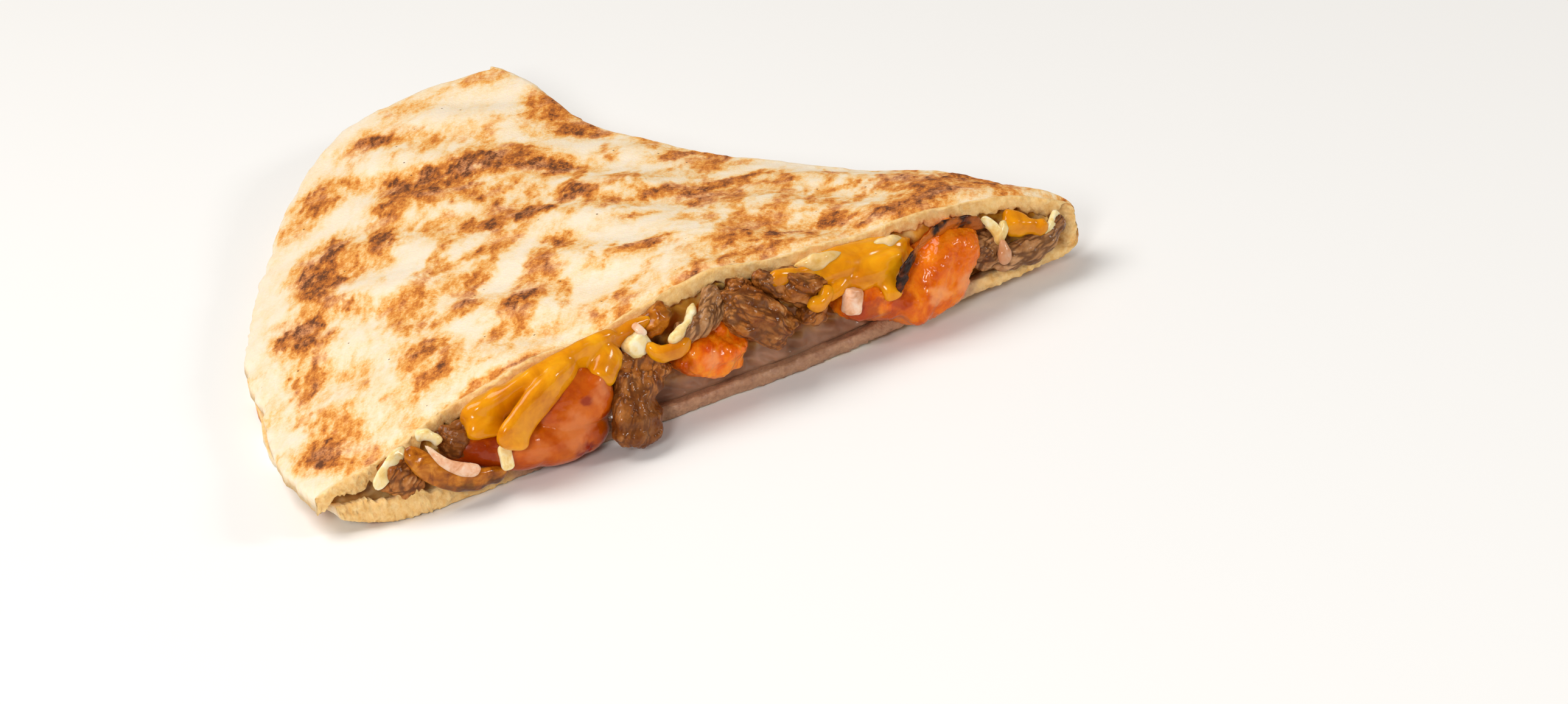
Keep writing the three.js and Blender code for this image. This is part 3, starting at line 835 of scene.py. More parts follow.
# Skirt steak cut in strips and seared: brown wet fibres, with painted shade in the gaps between bundles, and
# ginger where they catch the light, which is painted highlight
SEARED_BEEF = MoistFood(
    "seared_beef", ("#7c3c0e", "#a66226", "#c28348"), "#4a2006", "#e4ac70",
    patch_mm=3.0, grain_mm=0.7, grain_depth_mm=0.15, roughness=0.45, film=0.6, scatter=0.1, scatter_mm=0.6,
)
# The same steak where it steamed instead of searing: greyer and duller, with the same painted shade in its
# gaps and painted highlight on its backs
STEAMED_BEEF = MoistFood(
    "steamed_beef", ("#82502a", "#a87648", "#c6966a"), "#4c260c", "#dcae80",
    patch_mm=3.0, grain_mm=0.7, grain_depth_mm=0.12, roughness=0.45, film=0.6, scatter=0.1, scatter_mm=0.6,
)
# Onion fried soft: amber, clear enough for light to pass, with a brown underside
FRIED_ONION = MoistFood(
    "fried_onion", ("#7d3c08", "#b0640f", "#d58a2a"), "#3a1a08", "#ecc48c",
    patch_mm=2.2, grain_mm=0.9, grain_depth_mm=0.05, roughness=0.28, film=0.8, scatter=0.4, scatter_mm=1.2,
)
# Onion burnt at its edge: black glossy char on a brown clear strip
CHARRED_ONION = MoistFood(
    "charred_onion", ("#100604", "#241006", "#6e300e"), "#0a0504", "#cc6c1c",
    patch_mm=2.2, grain_mm=0.8, grain_depth_mm=0.2, roughness=0.3, film=0.4, scatter=0.05, scatter_mm=0.5,
)
# Shreds of white cheese, softened but not molten: cream with a waxy gloss
WHITE_SHRED = MoistFood(
    "white_cheese_shred", ("#e0b868", "#f2d89c", "#f9ecce"), "#d89c34", "#faf4e6",
    patch_mm=2.5, grain_mm=0.8, grain_depth_mm=0.04, roughness=0.3, film=0.8, scatter=0.6, scatter_mm=1.5,
    glow=(1.0, 0.75, 0.45),
)
# Shreds that took up juice from the meat: pinkish grey
PINK_SHRED = MoistFood(
    "juice_stained_shred", ("#d8986c", "#ecbb98", "#f5dac4"), "#b06c30", "#f8eadf",
    patch_mm=2.0, grain_mm=0.8, grain_depth_mm=0.05, roughness=0.28, film=0.7, scatter=0.5, scatter_mm=1.5,
    glow=(1.0, 0.65, 0.45),
)
# White cheese melted through with fat: golden; brown where the sauce ran in, which is also painted shade in
# the gaps between the filling; grey-pink on the lower layer, darkened in part as painted shade
MOLTEN_WHITE = MoistFood(
    "molten_white_cheese", ("#d08a24", "#e4a842", "#f2cf8a"), "#7c3610", "#a87c62",
    patch_mm=4.0, grain_mm=1.2, grain_depth_mm=0.06, roughness=0.3, film=0.8, scatter=0.4, scatter_mm=1.5,
    glow=(1.0, 0.6, 0.3),
)
# Cheddar melted and sagging: smooth orange-yellow with an oily shine
MOLTEN_CHEDDAR = MoistFood(
    "molten_cheddar", ("#c87402", "#e09004", "#f0a812"), "#a8500a", "#f6cc7c",
    patch_mm=6.0, grain_mm=2.2, grain_depth_mm=0.05, roughness=0.22, film=0.9, scatter=0.4, scatter_mm=1.5,
    glow=(1.0, 0.5, 0.12),
)


# ---------------------------------------------------------------------------------------------
# The wedge's form

# Heights and offsets in mm at distances from the tip
CUT_HEIGHT = Profile(
    (0, 8.6), (8, 13.6), (14, 15.6), (35, 19.4), (70, 23.4), (95, 20.8), (112, 18.8),
    (125, 15.8), (137, 11.6), (144, 8.4), (150, 5.5),
)
FOLD_HEIGHT = Profile((0, 8.6), (12, 12), (40, 12.5), (80, 11.9), (115, 9.8), (140, 7.4), (150, 6.0))
FOLD_OFFSET = Profile(
    (0, 0.4), (12, 0.2), (22, 2.6), (34, 2.8), (45, 1.2), (58, -0.3), (80, -2.2), (95, -1.2),
    (107, 0.2), (118, 2.8), (128, 7), (138, 11.2), (150, 13.6),
)
FOLD_BULGE = Profile((0, 4.6), (40, 4.0), (100, 3.4), (150, 2.9))
UPPER_EDGE = Profile((0, 0), (60, 0.6), (104, 1.2), (114, 2.0), (122, 0.2), (134, 0.6), (150, 0))
LOWER_EDGE = Profile(
    (0, 0.5), (20, 2.0), (60, 2.6), (100, 2.4), (118, 3.6), (132, 4.2), (142, 2.2), (150, -0.4),
)
# The rim's radius and how far the lower layer shows past the upper one, at shares of the wedge's angle
RIM_RADIUS = Profile(
    (0, 151), (0.13, 149.4), (0.23, 147.7), (0.34, 149.3), (0.48, 151.1), (0.6, 153.3),
    (0.7, 157.2), (0.78, 159.8), (0.86, 160), (0.93, 155), (1, 148),
)
LOWER_PEEK = Profile(
    (0, -3.4), (0.07, -2.8), (0.14, -2.4), (0.2, 0.3), (0.25, 0.9), (0.33, -0.7), (0.5, -1.0),
    (0.9, -0.6), (1, 0),
)


@dataclass(frozen=True)
class Wedge:
    """The form of the folded sheet. A place on it is its reach from the tip and its share of the angle.

    Args:
        radius: the length of the cut, in mm like every length below
        angle: the angle at the tip
        sheet: the thickness of a layer
        tip_width: the reach at which the sheet starts
        nose, nose_length: how far the tip is drawn out, and the reach over which that fades
        nose_lift, nose_lift_ends: how far the tip is lifted, and the reaches between which that fades
        corner_lift, lift_start: how far the far corner is lifted, and from what share of the radius
        cut_curl: how far the corner at the cut and the rim curls up
        cut_curl_length, cut_curl_share: the reach and the share of the angle over which that fades
        relief, relief_wave: the height and length of the upper layer's swells
        crown: how much higher the upper layer is between the cut and the fold
        crease, crease_rim: how deep the fold is creased at the tip, and what part of that is left at the rim
        crease_length, crease_width: the reach over which the crease fades, and its half width in radians
        rim_drop, rim_width: how much thinner the sheet gets towards its rim, and over what length
        rim_round: how round that is, where 1 is a full quarter of an ellipse
        swell: the field that the swells are read from
    """

    radius: float = 150.0
    angle: float = math.radians(68.8)
    sheet: float = 2.5
    tip_width: float = 2.5
    nose: float = 6.6
    nose_length: float = 16.0
    nose_lift: float = 2.4
    nose_lift_ends: tuple[float, float] = (15.0, 60.0)
    corner_lift: float = 7.0
    lift_start: float = 0.45
    cut_curl: float = 2.8
    cut_curl_length: float = 16.0
    cut_curl_share: float = 0.16
    relief: float = 0.7
    relief_wave: float = 34.0
    crown: float = 1.0
    crease: float = 1.7
    crease_rim: float = 0.35
    crease_length: float = 30.0
    crease_width: float = 0.45
    rim_drop: float = 0.8
    rim_width: float = 2.2
    rim_round: float = 0.96
    swell: Ripple = field(default_factory=lambda: Ripple(11, 34.0))

    @property
    def fold_out(self) -> np.ndarray:
        """Returns the level direction out of the fold."""
        return np.array([math.sin(self.angle), math.cos(self.angle), 0])

    def lift(self, reach: np.ndarray, share: np.ndarray) -> np.ndarray:
        """Works out how far the wedge is lifted off the table.

        Args:
            reach: distances from the tip
            share: shares of the wedge's angle, of the same shape

        Returns:
            The lift of both layers.
        """
        corner = np.maximum(0, reach * share / self.radius - self.lift_start) / (1 - self.lift_start)
        rim = smooth(reach, self.radius + 2 - self.cut_curl_length, self.radius + 2)
        curl = self.cut_curl * rim * (1 - smooth(share, 0, self.cut_curl_share))
        nose = self.nose_lift * (1 - smooth(reach, *self.nose_lift_ends))
        return self.corner_lift * corner**2 + curl + nose

    def plan(self, reach: np.ndarray, share: np.ndarray, forward: np.ndarray | float = 0.0) -> np.ndarray:
        """Lays places on the level, where the cut edge stands forward of the cut by so much.

        Args:
            reach: distances from the tip
            share: shares of the wedge's angle, of the same shape
            forward: how far the layer's cut edge stands forward

        Returns:
            The places, with a height of 0.
        """
        turn = share * self.angle
        pinch = (FOLD_OFFSET(reach) - FOLD_BULGE(reach)) * share**2
        places = np.stack([-reach * np.cos(turn), reach * np.sin(turn), 0 * reach], axis=-1)
        places += pinch[..., None] * self.fold_out
        places[..., 0] += self.nose * np.exp(-((reach / self.nose_length) ** 2))
        places[..., 1] -= forward * (1 - share) ** 4
        return places

    def top(self, reach: np.ndarray, share: np.ndarray) -> np.ndarray:
        """Works out the upper layer.

        Args:
            reach: distances from the tip
            share: shares of the wedge's angle, of the same shape

        Returns:
            The height of its top face.
        """
        scaled = reach * self.radius / RIM_RADIUS(share)
        body = lerp(CUT_HEIGHT(scaled), FOLD_HEIGHT(scaled), share)
        crown = self.crown * np.sin(math.pi * share) * smooth(self.radius - scaled, 0, self.relief_wave)
        swell = self.relief * self.swell(self.plan(reach, share))
        swell *= smooth(self.radius - scaled, 2, self.relief_wave / 2)
        return body + crown + swell + self.lift(reach, share)

    def upper_face(self, outwards: np.ndarray, share: np.ndarray, inner: bool) -> np.ndarray:
        """Works out a face of the upper layer.

        Args:
            outwards: shares of the way from the tip to the rim
            share: shares of the wedge's angle, of the same shape
            inner: the face towards the filling

        Returns:
            Its places.
        """
        reach = lerp(self.tip_width, RIM_RADIUS(share), outwards)
        places = self.plan(reach, share, UPPER_EDGE(reach))
        pressed = 0 if inner else self.pressed(RIM_RADIUS(share) - reach)
        places[..., 2] = self.top(reach, share) - (self.sheet if inner else pressed)
        return places

    def lower_face(self, outwards: np.ndarray, share: np.ndarray, inner: bool) -> np.ndarray:
        """Works out a face of the lower layer.

        Args:
            outwards: shares of the way from the tip to the rim
            share: shares of the wedge's angle, of the same shape
            inner: the face towards the filling

        Returns:
            Its places.
        """
        rim = RIM_RADIUS(share) + LOWER_PEEK(share)
        reach = lerp(self.tip_width, rim, outwards)
        places = self.plan(reach, share, LOWER_EDGE(reach))
        under = self.lift(reach, share)
        places[..., 2] = under + (self.sheet if inner else self.pressed(rim - reach) / 2)
        return places

    def fold_face(self, outwards: np.ndarray, turned: np.ndarray, inner: bool) -> np.ndarray:
        """Works out a face of the fold.

        Args:
            outwards: shares of the way from the tip to the rim
            turned: from 0 at the upper layer to 1 at the lower one
            inner: the face towards the filling

        Returns:
            Its places.
        """
        one = np.ones_like(outwards)
        reach = lerp(self.tip_width, RIM_RADIUS(one), outwards)
        low = self.lift(reach, one)
        half = (self.top(reach, one) - low) / 2
        angle = math.pi * (0.5 - turned)
        deep = self.crease * lerp(self.crease_rim, 1, np.exp(-((reach / self.crease_length) ** 2)))
        crease = deep * np.exp(-((angle / self.crease_width) ** 2))
        bulge = FOLD_BULGE(reach)
        out = bulge * np.cos(angle) - crease
        if inner:
            out = np.maximum(bulge - self.sheet - crease, 0.3) * np.cos(angle)
        places = self.plan(reach, one) + out[..., None] * self.fold_out
        places[..., 2] = low + half + (half - (self.sheet if inner else 0)) * np.sin(angle)
        return places

    def pressed(self, inside: np.ndarray) -> np.ndarray:
        """Returns how much thinner the sheet is at so many mm inside its rim."""
        near = np.clip(1 - inside / self.rim_width, 0, 1)
        return self.rim_drop * (1 - np.sqrt(1 - self.rim_round * near**2))

    def face(self, outwards: np.ndarray, across: np.ndarray, inner: bool) -> np.ndarray:
        """Works out a face of the whole folded sheet.

        Args:
            outwards: one number for each row, from 0 at the tip to 1 at the rim
            across: one for each column: 0 to 1 over the upper layer from the cut to the fold, 1 to 2
                round the fold, and 2 to 3 under the lower layer back to the cut
            inner: the face towards the filling

        Returns:
            The places, by row and column.
        """
        row, column = np.meshgrid(outwards, across, indexing="ij")
        upper = self.upper_face(row, np.clip(column, 0, 1), inner)
        fold = self.fold_face(row, np.clip(column - 1, 0, 1), inner)
        lower = self.lower_face(row, np.clip(3 - column, 0, 1), inner)
        layer = column[..., None]
        return np.where(layer <= 1, upper, np.where(layer < 2, fold, lower))


WEDGE = Wedge()


# ---------------------------------------------------------------------------------------------
# The tortilla


@dataclass(frozen=True)
class Scorch:
    """A scorched patch, seen from above.

    Args:
        x, y: its middle, in mm from the tip corner
        long, wide: its length and width in mm
        turn: how far its length is turned, in degrees
        depth: how dark it is: 0.3 is gold, 0.5 tan, 0.7 brown and 0.95 nearly black
    """

    x: float
    y: float
    long: float
    wide: float
    turn: float = 0.0
    depth: float = 0.6

    def away(self, places: np.ndarray) -> np.ndarray:
        """Returns about how many mm each place lies outside the patch's outline."""
        turn = math.radians(self.turn)
        x, y = places[..., 0] - self.x, places[..., 1] - self.y
        along = (x * math.cos(turn) + y * math.sin(turn)) / (self.long / 2)
        aside = (y * math.cos(turn) - x * math.sin(turn)) / (self.wide / 2)
        return (np.hypot(along, aside) - 1) * math.sqrt(self.long * self.wide) / 2


# From the far corner forward to the cut: x, y, long, wide, turn and depth
SCORCHES = tuple(
    Scorch(*patch)
    for patch in (
        (-75.7, 127.3, 8, 7, 0, 0.85), (-76, 128, 13, 11, 0, 0.4), (-82, 125, 8, 5, 90, 0.5),
        (-65, 136, 12, 9, 20, 0.35), (-46, 137.5, 10, 9, 0, 0.48), (-55, 138, 8, 4, 0, 0.3),
        (-95, 114, 13, 8, 55, 0.75), (-102, 109, 20, 9, 50, 0.42), (-87, 112, 13, 5, 95, 0.5),
        (-92, 120, 8, 5, 60, 0.45), (-72, 116, 13, 7, 10, 0.4), (-68.5, 122, 11, 3, 95, 0.42),
        (-62, 108, 9, 6, 60, 0.35), (-53, 104, 14, 4, 85, 0.38), (-58, 115, 6, 4, 30, 0.28),
        (-83.2, 97, 21, 8, 94, 0.98), (-76, 98, 17, 11, 90, 0.8), (-80, 95, 25, 20, 90, 0.5),
        (-66.5, 98, 13, 9, 115, 0.85), (-59.5, 85, 16, 8, 120, 0.88), (-62, 92, 32, 15, 116, 0.5),
        (-44.5, 117, 18, 9, 80, 0.5), (-44, 101, 15, 8, 105, 0.76), (-45, 108, 28, 11, 88, 0.42),
        (-38, 84, 14, 6, 80, 0.5), (-47, 84, 9, 6, 0, 0.34), (-39.5, 74, 11, 5, 5, 0.8),
        (-112, 78, 19, 9, 72, 0.88), (-105, 86.5, 15, 6, 55, 0.84), (-109, 80, 30, 15, 62, 0.48),
        (-98, 79, 16, 6, 58, 0.72), (-95, 86, 20, 7, 65, 0.5), (-100, 76, 26, 10, 58, 0.42),
        (-90, 93, 10, 6, 70, 0.4), (-74.8, 62.8, 10, 8, 0, 0.95), (-76, 64, 17, 14, 0, 0.5),
        (-63.2, 65, 13, 6.5, 92, 0.85), (-84, 66, 12, 8, 70, 0.6), (-85, 54, 12, 6, 10, 0.62),
        (-88, 72, 20, 10, 75, 0.42), (-72, 81, 14, 5, 10, 0.52), (-68.5, 76, 13, 4, 80, 0.55),
        (-76, 75, 10, 4, 100, 0.45), (-67, 55, 8, 6, 0, 0.36), (-57, 69, 6, 4, 0, 0.32),
        (-124.5, 58, 16, 10, 80, 0.8), (-127, 52, 10, 8, 60, 0.7), (-124, 63, 14, 9, 80, 0.4),
        (-116, 62, 18, 5, 84, 0.62), (-117, 70, 10, 5, 80, 0.4), (-135.2, 56, 6, 2.5, 70, 0.45),
        (-132.5, 40, 14, 6, 70, 0.66), (-130, 46, 8, 4, 50, 0.45), (-140, 39.5, 5, 2.5, 80, 0.45),
        (-143, 11.5, 15, 8, 95, 0.92), (-141, 4, 9, 5, 80, 0.55), (-136.5, 17, 12, 6, 80, 0.58),
        (-138.5, 28, 14, 4, 82, 0.5), (-137, 5, 10, 4, 60, 0.42), (-129, 16, 5, 4, 0, 0.38),
        (-126, 33, 15, 7, 85, 0.4), (-115.5, 35, 12, 6, 80, 0.42), (-117, 22, 11, 8, 75, 0.7),
        (-121, 12, 10, 7, 0, 0.66), (-128, 24, 6, 4, 60, 0.35), (-110, 30, 8, 4, 60, 0.35),
        (-101, 43, 13, 9, 60, 0.48), (-92, 46, 10, 6, 30, 0.32), (-108, 45, 9, 5, 40, 0.32),
        (-96.5, 23.8, 11, 8, 30, 0.86), (-103, 29.5, 7, 5, 90, 0.6), (-87, 31, 10, 5, 20, 0.38),
        (-79, 42, 11, 7, 80, 0.66), (-82, 38, 8, 6, 60, 0.4), (-73, 23.8, 12, 7, 0, 0.88),
        (-64.2, 41, 8, 6, 0, 0.66), (-58, 31, 12, 7, 0, 0.32), (-88, 24, 12, 4, 10, 0.32),
        (-55.2, 52, 13, 6.5, 5, 0.76), (-41, 49, 20, 5.5, 3, 0.7), (-48, 50, 26, 8, 3, 0.42),
        (-48, 64, 18, 6, 15, 0.36), (-42, 58, 9, 7, 40, 0.38), (-31.5, 60.5, 9, 5, 0, 0.5),
        (-29, 66, 12, 6, 120, 0.42), (-43, 39, 26, 15, 10, 0.36), (-30, 42, 18, 9, 150, 0.34),
        (-27.5, 27.3, 7, 5.5, 0, 0.56), (-35, 20, 16, 8, 0, 0.36), (-47, 26, 16, 6, 10, 0.28),
        (-62, 13, 13, 7, 20, 0.48), (-51, 9.5, 18, 2.5, 3, 0.7), (-52, 12, 24, 8, 0, 0.36),
        (-39, 10.5, 10, 7, 0, 0.66), (-76, 13, 16, 4, 25, 0.4), (-86, 4, 14, 3, 15, 0.36),
        (-98, 8, 10, 4, 20, 0.3), (-108, 12, 9, 5, 10, 0.32), (-58, 4, 20, 5, 5, 0.44),
        (-31, 4.5, 26, 3, 10, 0.6), (-30, 6, 30, 9, 8, 0.42), (-13, 13, 26, 17, 30, 0.5),
        (-8, 19, 14, 8, 60, 0.62), (-8, 6, 16, 8, 10, 0.5), (-18, 20, 18, 10, 40, 0.4),
        (-116, 0.2, 24, 3, 0, 0.62), (-70, 1, 20, 2, 3, 0.3), (-22, 30, 8, 4, 60, 0.3),
    )
)


# How dark the inside is painted at each x: juice that it soaked up, with painted shade under the filling
# added over the middle stretch; 0 is clean, 0.5 grey-pink and 0.9 red-brown
JUICE_AND_SHADE = Profile(
    (-150, 0.1), (-122, 0.1), (-108, 0.7), (-96, 0.55), (-86, 0.5), (-48, 0.5), (-32, 0.42), (-14, 0.1),
)


@dataclass(frozen=True)
class Tortilla:
    """The folded sheet, with its scorched crust, torn edges and damp inside.

    Args:
        name: the piece's name
        rows: how many rows of facets there are from the tip to the rim
        crowding: how much closer the rows lie at the tip and the rim
        outer_columns, inner_columns: columns over the upper layer, the fold and the lower layer of each face
        outer_even, inner_even: how evenly those are spread, where less than 1 crowds them at the cut
        wall_steps: columns over each cut edge
        low_bulge, high_bulge: how far the lower and upper cut edge stand out
        tip_dough: the reach over which the dough that closes the tip gives way to the pocket
        tip_round, tip_end: how far the tip is rounded, and how thin it ends
        hem: the thickness that tearing adds at the cut
        rim_start: the share of the way out where the rim's crust begins
        browned_rim, browned_inside: how crusty the rim's inner side is, and how toasted the inside
        damp_above: how damp the upper layer's inner face is, where the lower one's is 1
        deepest: the darkest that a patch on top gets, before its fibres
        stroke: the direction in which the sheet was rolled, which its fibres and patches follow
        warp, fibre, blister, tear: where the uneven outlines, fibres, blisters and torn edges come from
    """

    name: str = "flour_tortilla"
    rows: int = 290
    crowding: float = 0.5
    outer_columns: tuple[int, int, int] = (174, 16, 46)
    inner_columns: tuple[int, int, int] = (38, 6, 38)
    outer_even: float = 0.35
    inner_even: float = 0.15
    wall_steps: int = 8
    low_bulge: float = 0.8
    high_bulge: float = 0.5
    tip_dough: tuple[float, float] = (3.0, 8.0)
    tip_round: float = 7.0
    tip_end: float = 0.4
    hem: float = 0.9
    rim_start: float = 0.985
    browned_rim: float = 0.75
    browned_inside: float = 0.25
    damp_above: float = 0.35
    deepest: float = 0.83
    stroke: Place = (0.57, 0.82, 0)
    warp: tuple[Noise, ...] = (Noise(1), Noise(2), Noise(3))
    fibre: Noise = Noise(4)
    blister: Noise = Noise(5)
    tear: Noise = Noise(6)

    @staticmethod
    def columns(counts: tuple[int, int, int], even: float) -> np.ndarray:
        """Spreads columns over the layers, closer together towards the cut.

        Args:
            counts: how many for the upper layer, the fold and the lower layer
            even: 1 spreads them evenly, less crowds them at the cut

        Returns:
            Where each column lies, as Wedge.face takes it.
        """
        upper, fold, lower = (np.arange(n + 1) / n for n in counts)
        upper, lower = (even * t + (1 - even) * t**2 for t in (upper, lower))
        return np.concatenate([upper, 1 + fold[1:-1], 3 - lower[::-1]])

    def build(self) -> bpy.types.Object:
        """Builds the tortilla's mesh, with its layers of toast, crust, damp and juice, where juice also
        carries painted shade.

        Returns:
            The piece, in mm from the tip corner.
        """
        outwards = np.arange(self.rows + 1) / self.rows
        outwards -= self.crowding * np.sin(2 * math.pi * outwards) / (2 * math.pi)
        out_across = self.columns(self.outer_columns, self.outer_even)
        in_across = self.columns(self.inner_columns, self.inner_even)
        outer = WEDGE.face(outwards, out_across, False)
        inner = WEDGE.face(outwards, in_across, True)
        toast = self.toast(outer, out_across)
        outer = self.weathered(outer, out_across, toast)
        self.fray(outer, out_across, outwards)
        self.fray(inner, in_across, outwards)
        inner = self.softened(inner, in_across)
        reach = lerp(WEDGE.tip_width, WEDGE.radius, outwards)[:, None]
        closed = self.closing_dough(outer, in_across)
        inner = lerp(closed, inner, smooth(reach, *self.tip_dough)[..., None])[:, ::-1]
        low_wall = self.wall(outer[:, -1], inner[:, 0], self.low_bulge)
        high_wall = self.wall(inner[:, -1], outer[:, 0], self.high_bulge)
        ring = np.concatenate([outer, low_wall, inner, high_wall], axis=1)
        ring = self.rounded_tip(ring, outwards)
        faces = self.skin_faces(len(out_across), len(in_across))
        piece = mesh_object(self.name, Shell(ring.reshape(-1, 3), faces))

        # Each layer is put together as the ring is: outer face, lower wall, inner face and upper wall
        clean_wall = np.zeros((self.rows + 1, self.wall_steps))
        whole_inside = np.ones(inner.shape[:2])
        rim = smooth(outwards, self.rim_start, 1.0)[:, None]
        # Juice along x, with painted shade under the filling in the middle; where it is strong the lower cut
        # edge takes the damp colours too
        juice = JUICE_AND_SHADE(ring[..., 0])
        side = np.where(in_across[::-1] > 2, 1.0, self.damp_above)[None]
        damp_inside = side * (1 - rim) * smooth(reach, 4, 12)
        soaked_and_shaded_wall = clean_wall + smooth(juice[:, :1], 0.15, 0.28)
        layers = {
            "toast": (toast, clean_wall, self.browned_inside * whole_inside, clean_wall),
            "crust": (np.ones_like(toast), clean_wall, self.browned_rim * rim * whole_inside, clean_wall),
            "damp": (np.zeros_like(toast), soaked_and_shaded_wall, damp_inside, clean_wall),
            "juice": (juice,),
        }
        for name, parts in layers.items():
            values = np.concatenate(parts, axis=1)
            if name == "crust":
                values[:, [0, len(out_across) - 1]] = 0.5
            paint(piece.data, name, values)
        return piece

    def closing_dough(self, outer: np.ndarray, in_across: np.ndarray) -> np.ndarray:
        """Makes the dough that closes the tip, between the outer face's two cut edges.

        Args:
            outer: the outer face
            in_across: where the inner face's columns lie

        Returns:
            Its lumpy face, in the inner face's columns.
        """
        face = lerp(outer[:, :1], outer[:, -1:], in_across[None, :, None] / 3)
        face[..., 1] -= 0.7 * self.tear.layered(face, 3.2, 4, 0.65) + 0.6 * self.blister.cells(face, 1.8)
        return face

    def toast(self, places: np.ndarray, across: np.ndarray) -> np.ndarray:
        """Works out how deeply the outer face is scorched.

        Args:
            places: the outer face
            across: where its columns lie

        Returns:
            One value for each place, from 0 for cream to 1 for nearly black.
        """
        bend = np.stack([noise.layered(places, 8, 4, 0.62) for noise in self.warp], axis=-1)
        at = places + 1.7 * bend
        strokes = drawn_out(places, self.stroke, 2.6)
        ragged = 1.3 * self.fibre.layered(strokes, 3.2, 4, 0.7)
        ragged += 1.1 * self.blister.layered(places, 5, 3, 0.6)
        uncharred, ungilt = np.ones(places.shape[:2]), np.ones(places.shape[:2])
        for patch in SCORCHES:
            away = patch.away(at) + ragged
            uncharred *= 1 - 0.8 * patch.depth * (1 - smooth(away, -2.0, 0.6))
            ungilt *= 1 - 0.8 * patch.depth * (1 - smooth(away, -0.5, 4.5))
        patches = np.maximum(1 - uncharred, 0.42 * (1 - ungilt))

        # A thin gold all over, fuller along the cut and fainter towards the rim; the extra gold along the cut
        # is partly painted shade, as the top is less lit there
        gold = 0.48 * smooth(self.blister.layered(strokes, 8, 4, 0.65), -0.2, 0.6)
        gold = over(gold, 0.14 * (1 - smooth(places[..., 1], 4, 26)))
        gold *= 1 - 0.8 * smooth(np.hypot(places[..., 0], places[..., 1]), 110, 142)

        spots = self.fibre.layered(places, 11, 4, 0.55) + 0.25 * self.blister(places, 22)
        blotches = smooth(spots + 0.25 * self.fibre.layered(strokes, 3, 3, 0.7), 0.1, 1.0)
        fibres = 1 + 0.3 * self.fibre.layered(strokes, 1.9, 2, 0.8)
        top = np.minimum(over(gold, patches), self.deepest) * fibres
        under = over(gold, 0.75 * blotches) * fibres
        shown = 1 - smooth(across, 1.05, 1.3)
        return lerp(under, top, shown[None])

    def weathered(self, places: np.ndarray, across: np.ndarray, toast: np.ndarray) -> np.ndarray:
        """Raises the outer face in small swells and blisters, and rounds it off at the cut.

        Args:
            places: the outer face
            across: where its columns lie
            toast: how deeply it is scorched

        Returns:
            The new places.
        """
        outwards = np.gradient(places, axis=0)
        sideways = np.gradient(places, axis=1)
        out = np.cross(sideways, outwards)
        out /= np.linalg.norm(out, axis=-1, keepdims=True) + TINY
        on_top = 5
        out *= np.sign(out[:, on_top, 2].mean())
        height = 0.22 * self.blister.layered(places, 10, 3) + 0.07 * self.fibre.layered(places, 2.2, 2)
        height += 0.28 * smooth(toast, 0.45, 0.9) * (0.6 + 0.8 * self.fibre.layered(places, 3, 3))
        # The lower layer is pressed flat where it lies
        under = smooth(across, 2.0, 2.2)[None]
        height = np.where(under > 0, (height - 0.4) * (1 - 0.6 * under), height)
        edge = np.exp(-((places[..., 1] / 1.3) ** 2)) * (across < 1)
        height = height * (1 - 0.7 * edge) - 0.45 * edge
        return places + height[..., None] * out

    def softened(self, places: np.ndarray, across: np.ndarray) -> np.ndarray:
        """Gives the inner face the lumps of damp dough, and the cut edges a thick, ragged hem.

        Args:
            places: the inner face, which is changed
            across: where its columns lie

        Returns:
            The same places.
        """
        lumps = 0.18 * self.fibre.layered(places, 4, 3) + 0.12 * self.blister.layered(places, 1.6, 2)
        up = np.where(across > 2, 1.0, -1.0)
        share = np.minimum(across, 3 - across)
        far = -places[..., 0]
        inward = places[..., 1] + np.where(across > 2, LOWER_EDGE(far), UPPER_EDGE(far))
        near_cut = np.exp(-((inward / 2.2) ** 2)) * (share < 0.2)
        ragged = self.tear.layered(places, 5, 5, 0.75)
        # The lower layer is torn thick near the rim, the upper one all along
        lower = (0.3 + 1.9 * smooth(far, 120, 134) * (1 - smooth(far, 142, 150))) * (1 + 0.5 * ragged)
        upper = np.clip(1 + 1.1 * ragged, 0, 2.4)
        hem = self.hem * near_cut * np.where(across > 2, lower, upper)
        places[..., 2] += (np.clip(lumps, -0.3, 0.4) + hem) * up
        return places

    def fray(self, places: np.ndarray, across: np.ndarray, outwards: np.ndarray) -> None:
        """Makes the cut edges and the rim uneven.

        Args:
            places: a face, which is changed
            across: where its columns lie
            outwards: where its rows lie
        """
        share = np.minimum(across, 3 - across)
        near_cut = np.exp(-((places[..., 1] / 2.0) ** 2)) * (share < 0.2)
        torn = np.where(across < 1.5, 0.35, 0.7) * self.tear.layered(places, 6, 4, 0.6)
        places[..., 1] -= torn * near_cut
        near_rim = smooth(outwards, 0.97, 1.0)[:, None]
        frayed = (0.7 * self.tear.layered(places + 40, 9, 4, 0.6) * near_rim)[..., None]
        way = places * (1, 1, 0)
        places += frayed * way / (np.linalg.norm(way, axis=-1, keepdims=True) + TINY)

    def rounded_tip(self, ring: np.ndarray, outwards: np.ndarray) -> np.ndarray:
        """Rounds the sheet off towards its end at the tip.

        Args:
            ring: its places, by row and then all the way round
            outwards: where its rows lie

        Returns:
            The new places.
        """
        inside = np.clip(outwards * (WEDGE.radius - WEDGE.tip_width) / self.tip_round, 0, 1)
        full = lerp(self.tip_end, 1, np.sqrt(1 - (1 - inside) ** 2.4))[:, None, None]
        middle = ring.mean(axis=1, keepdims=True)
        return middle + (ring - middle) * full

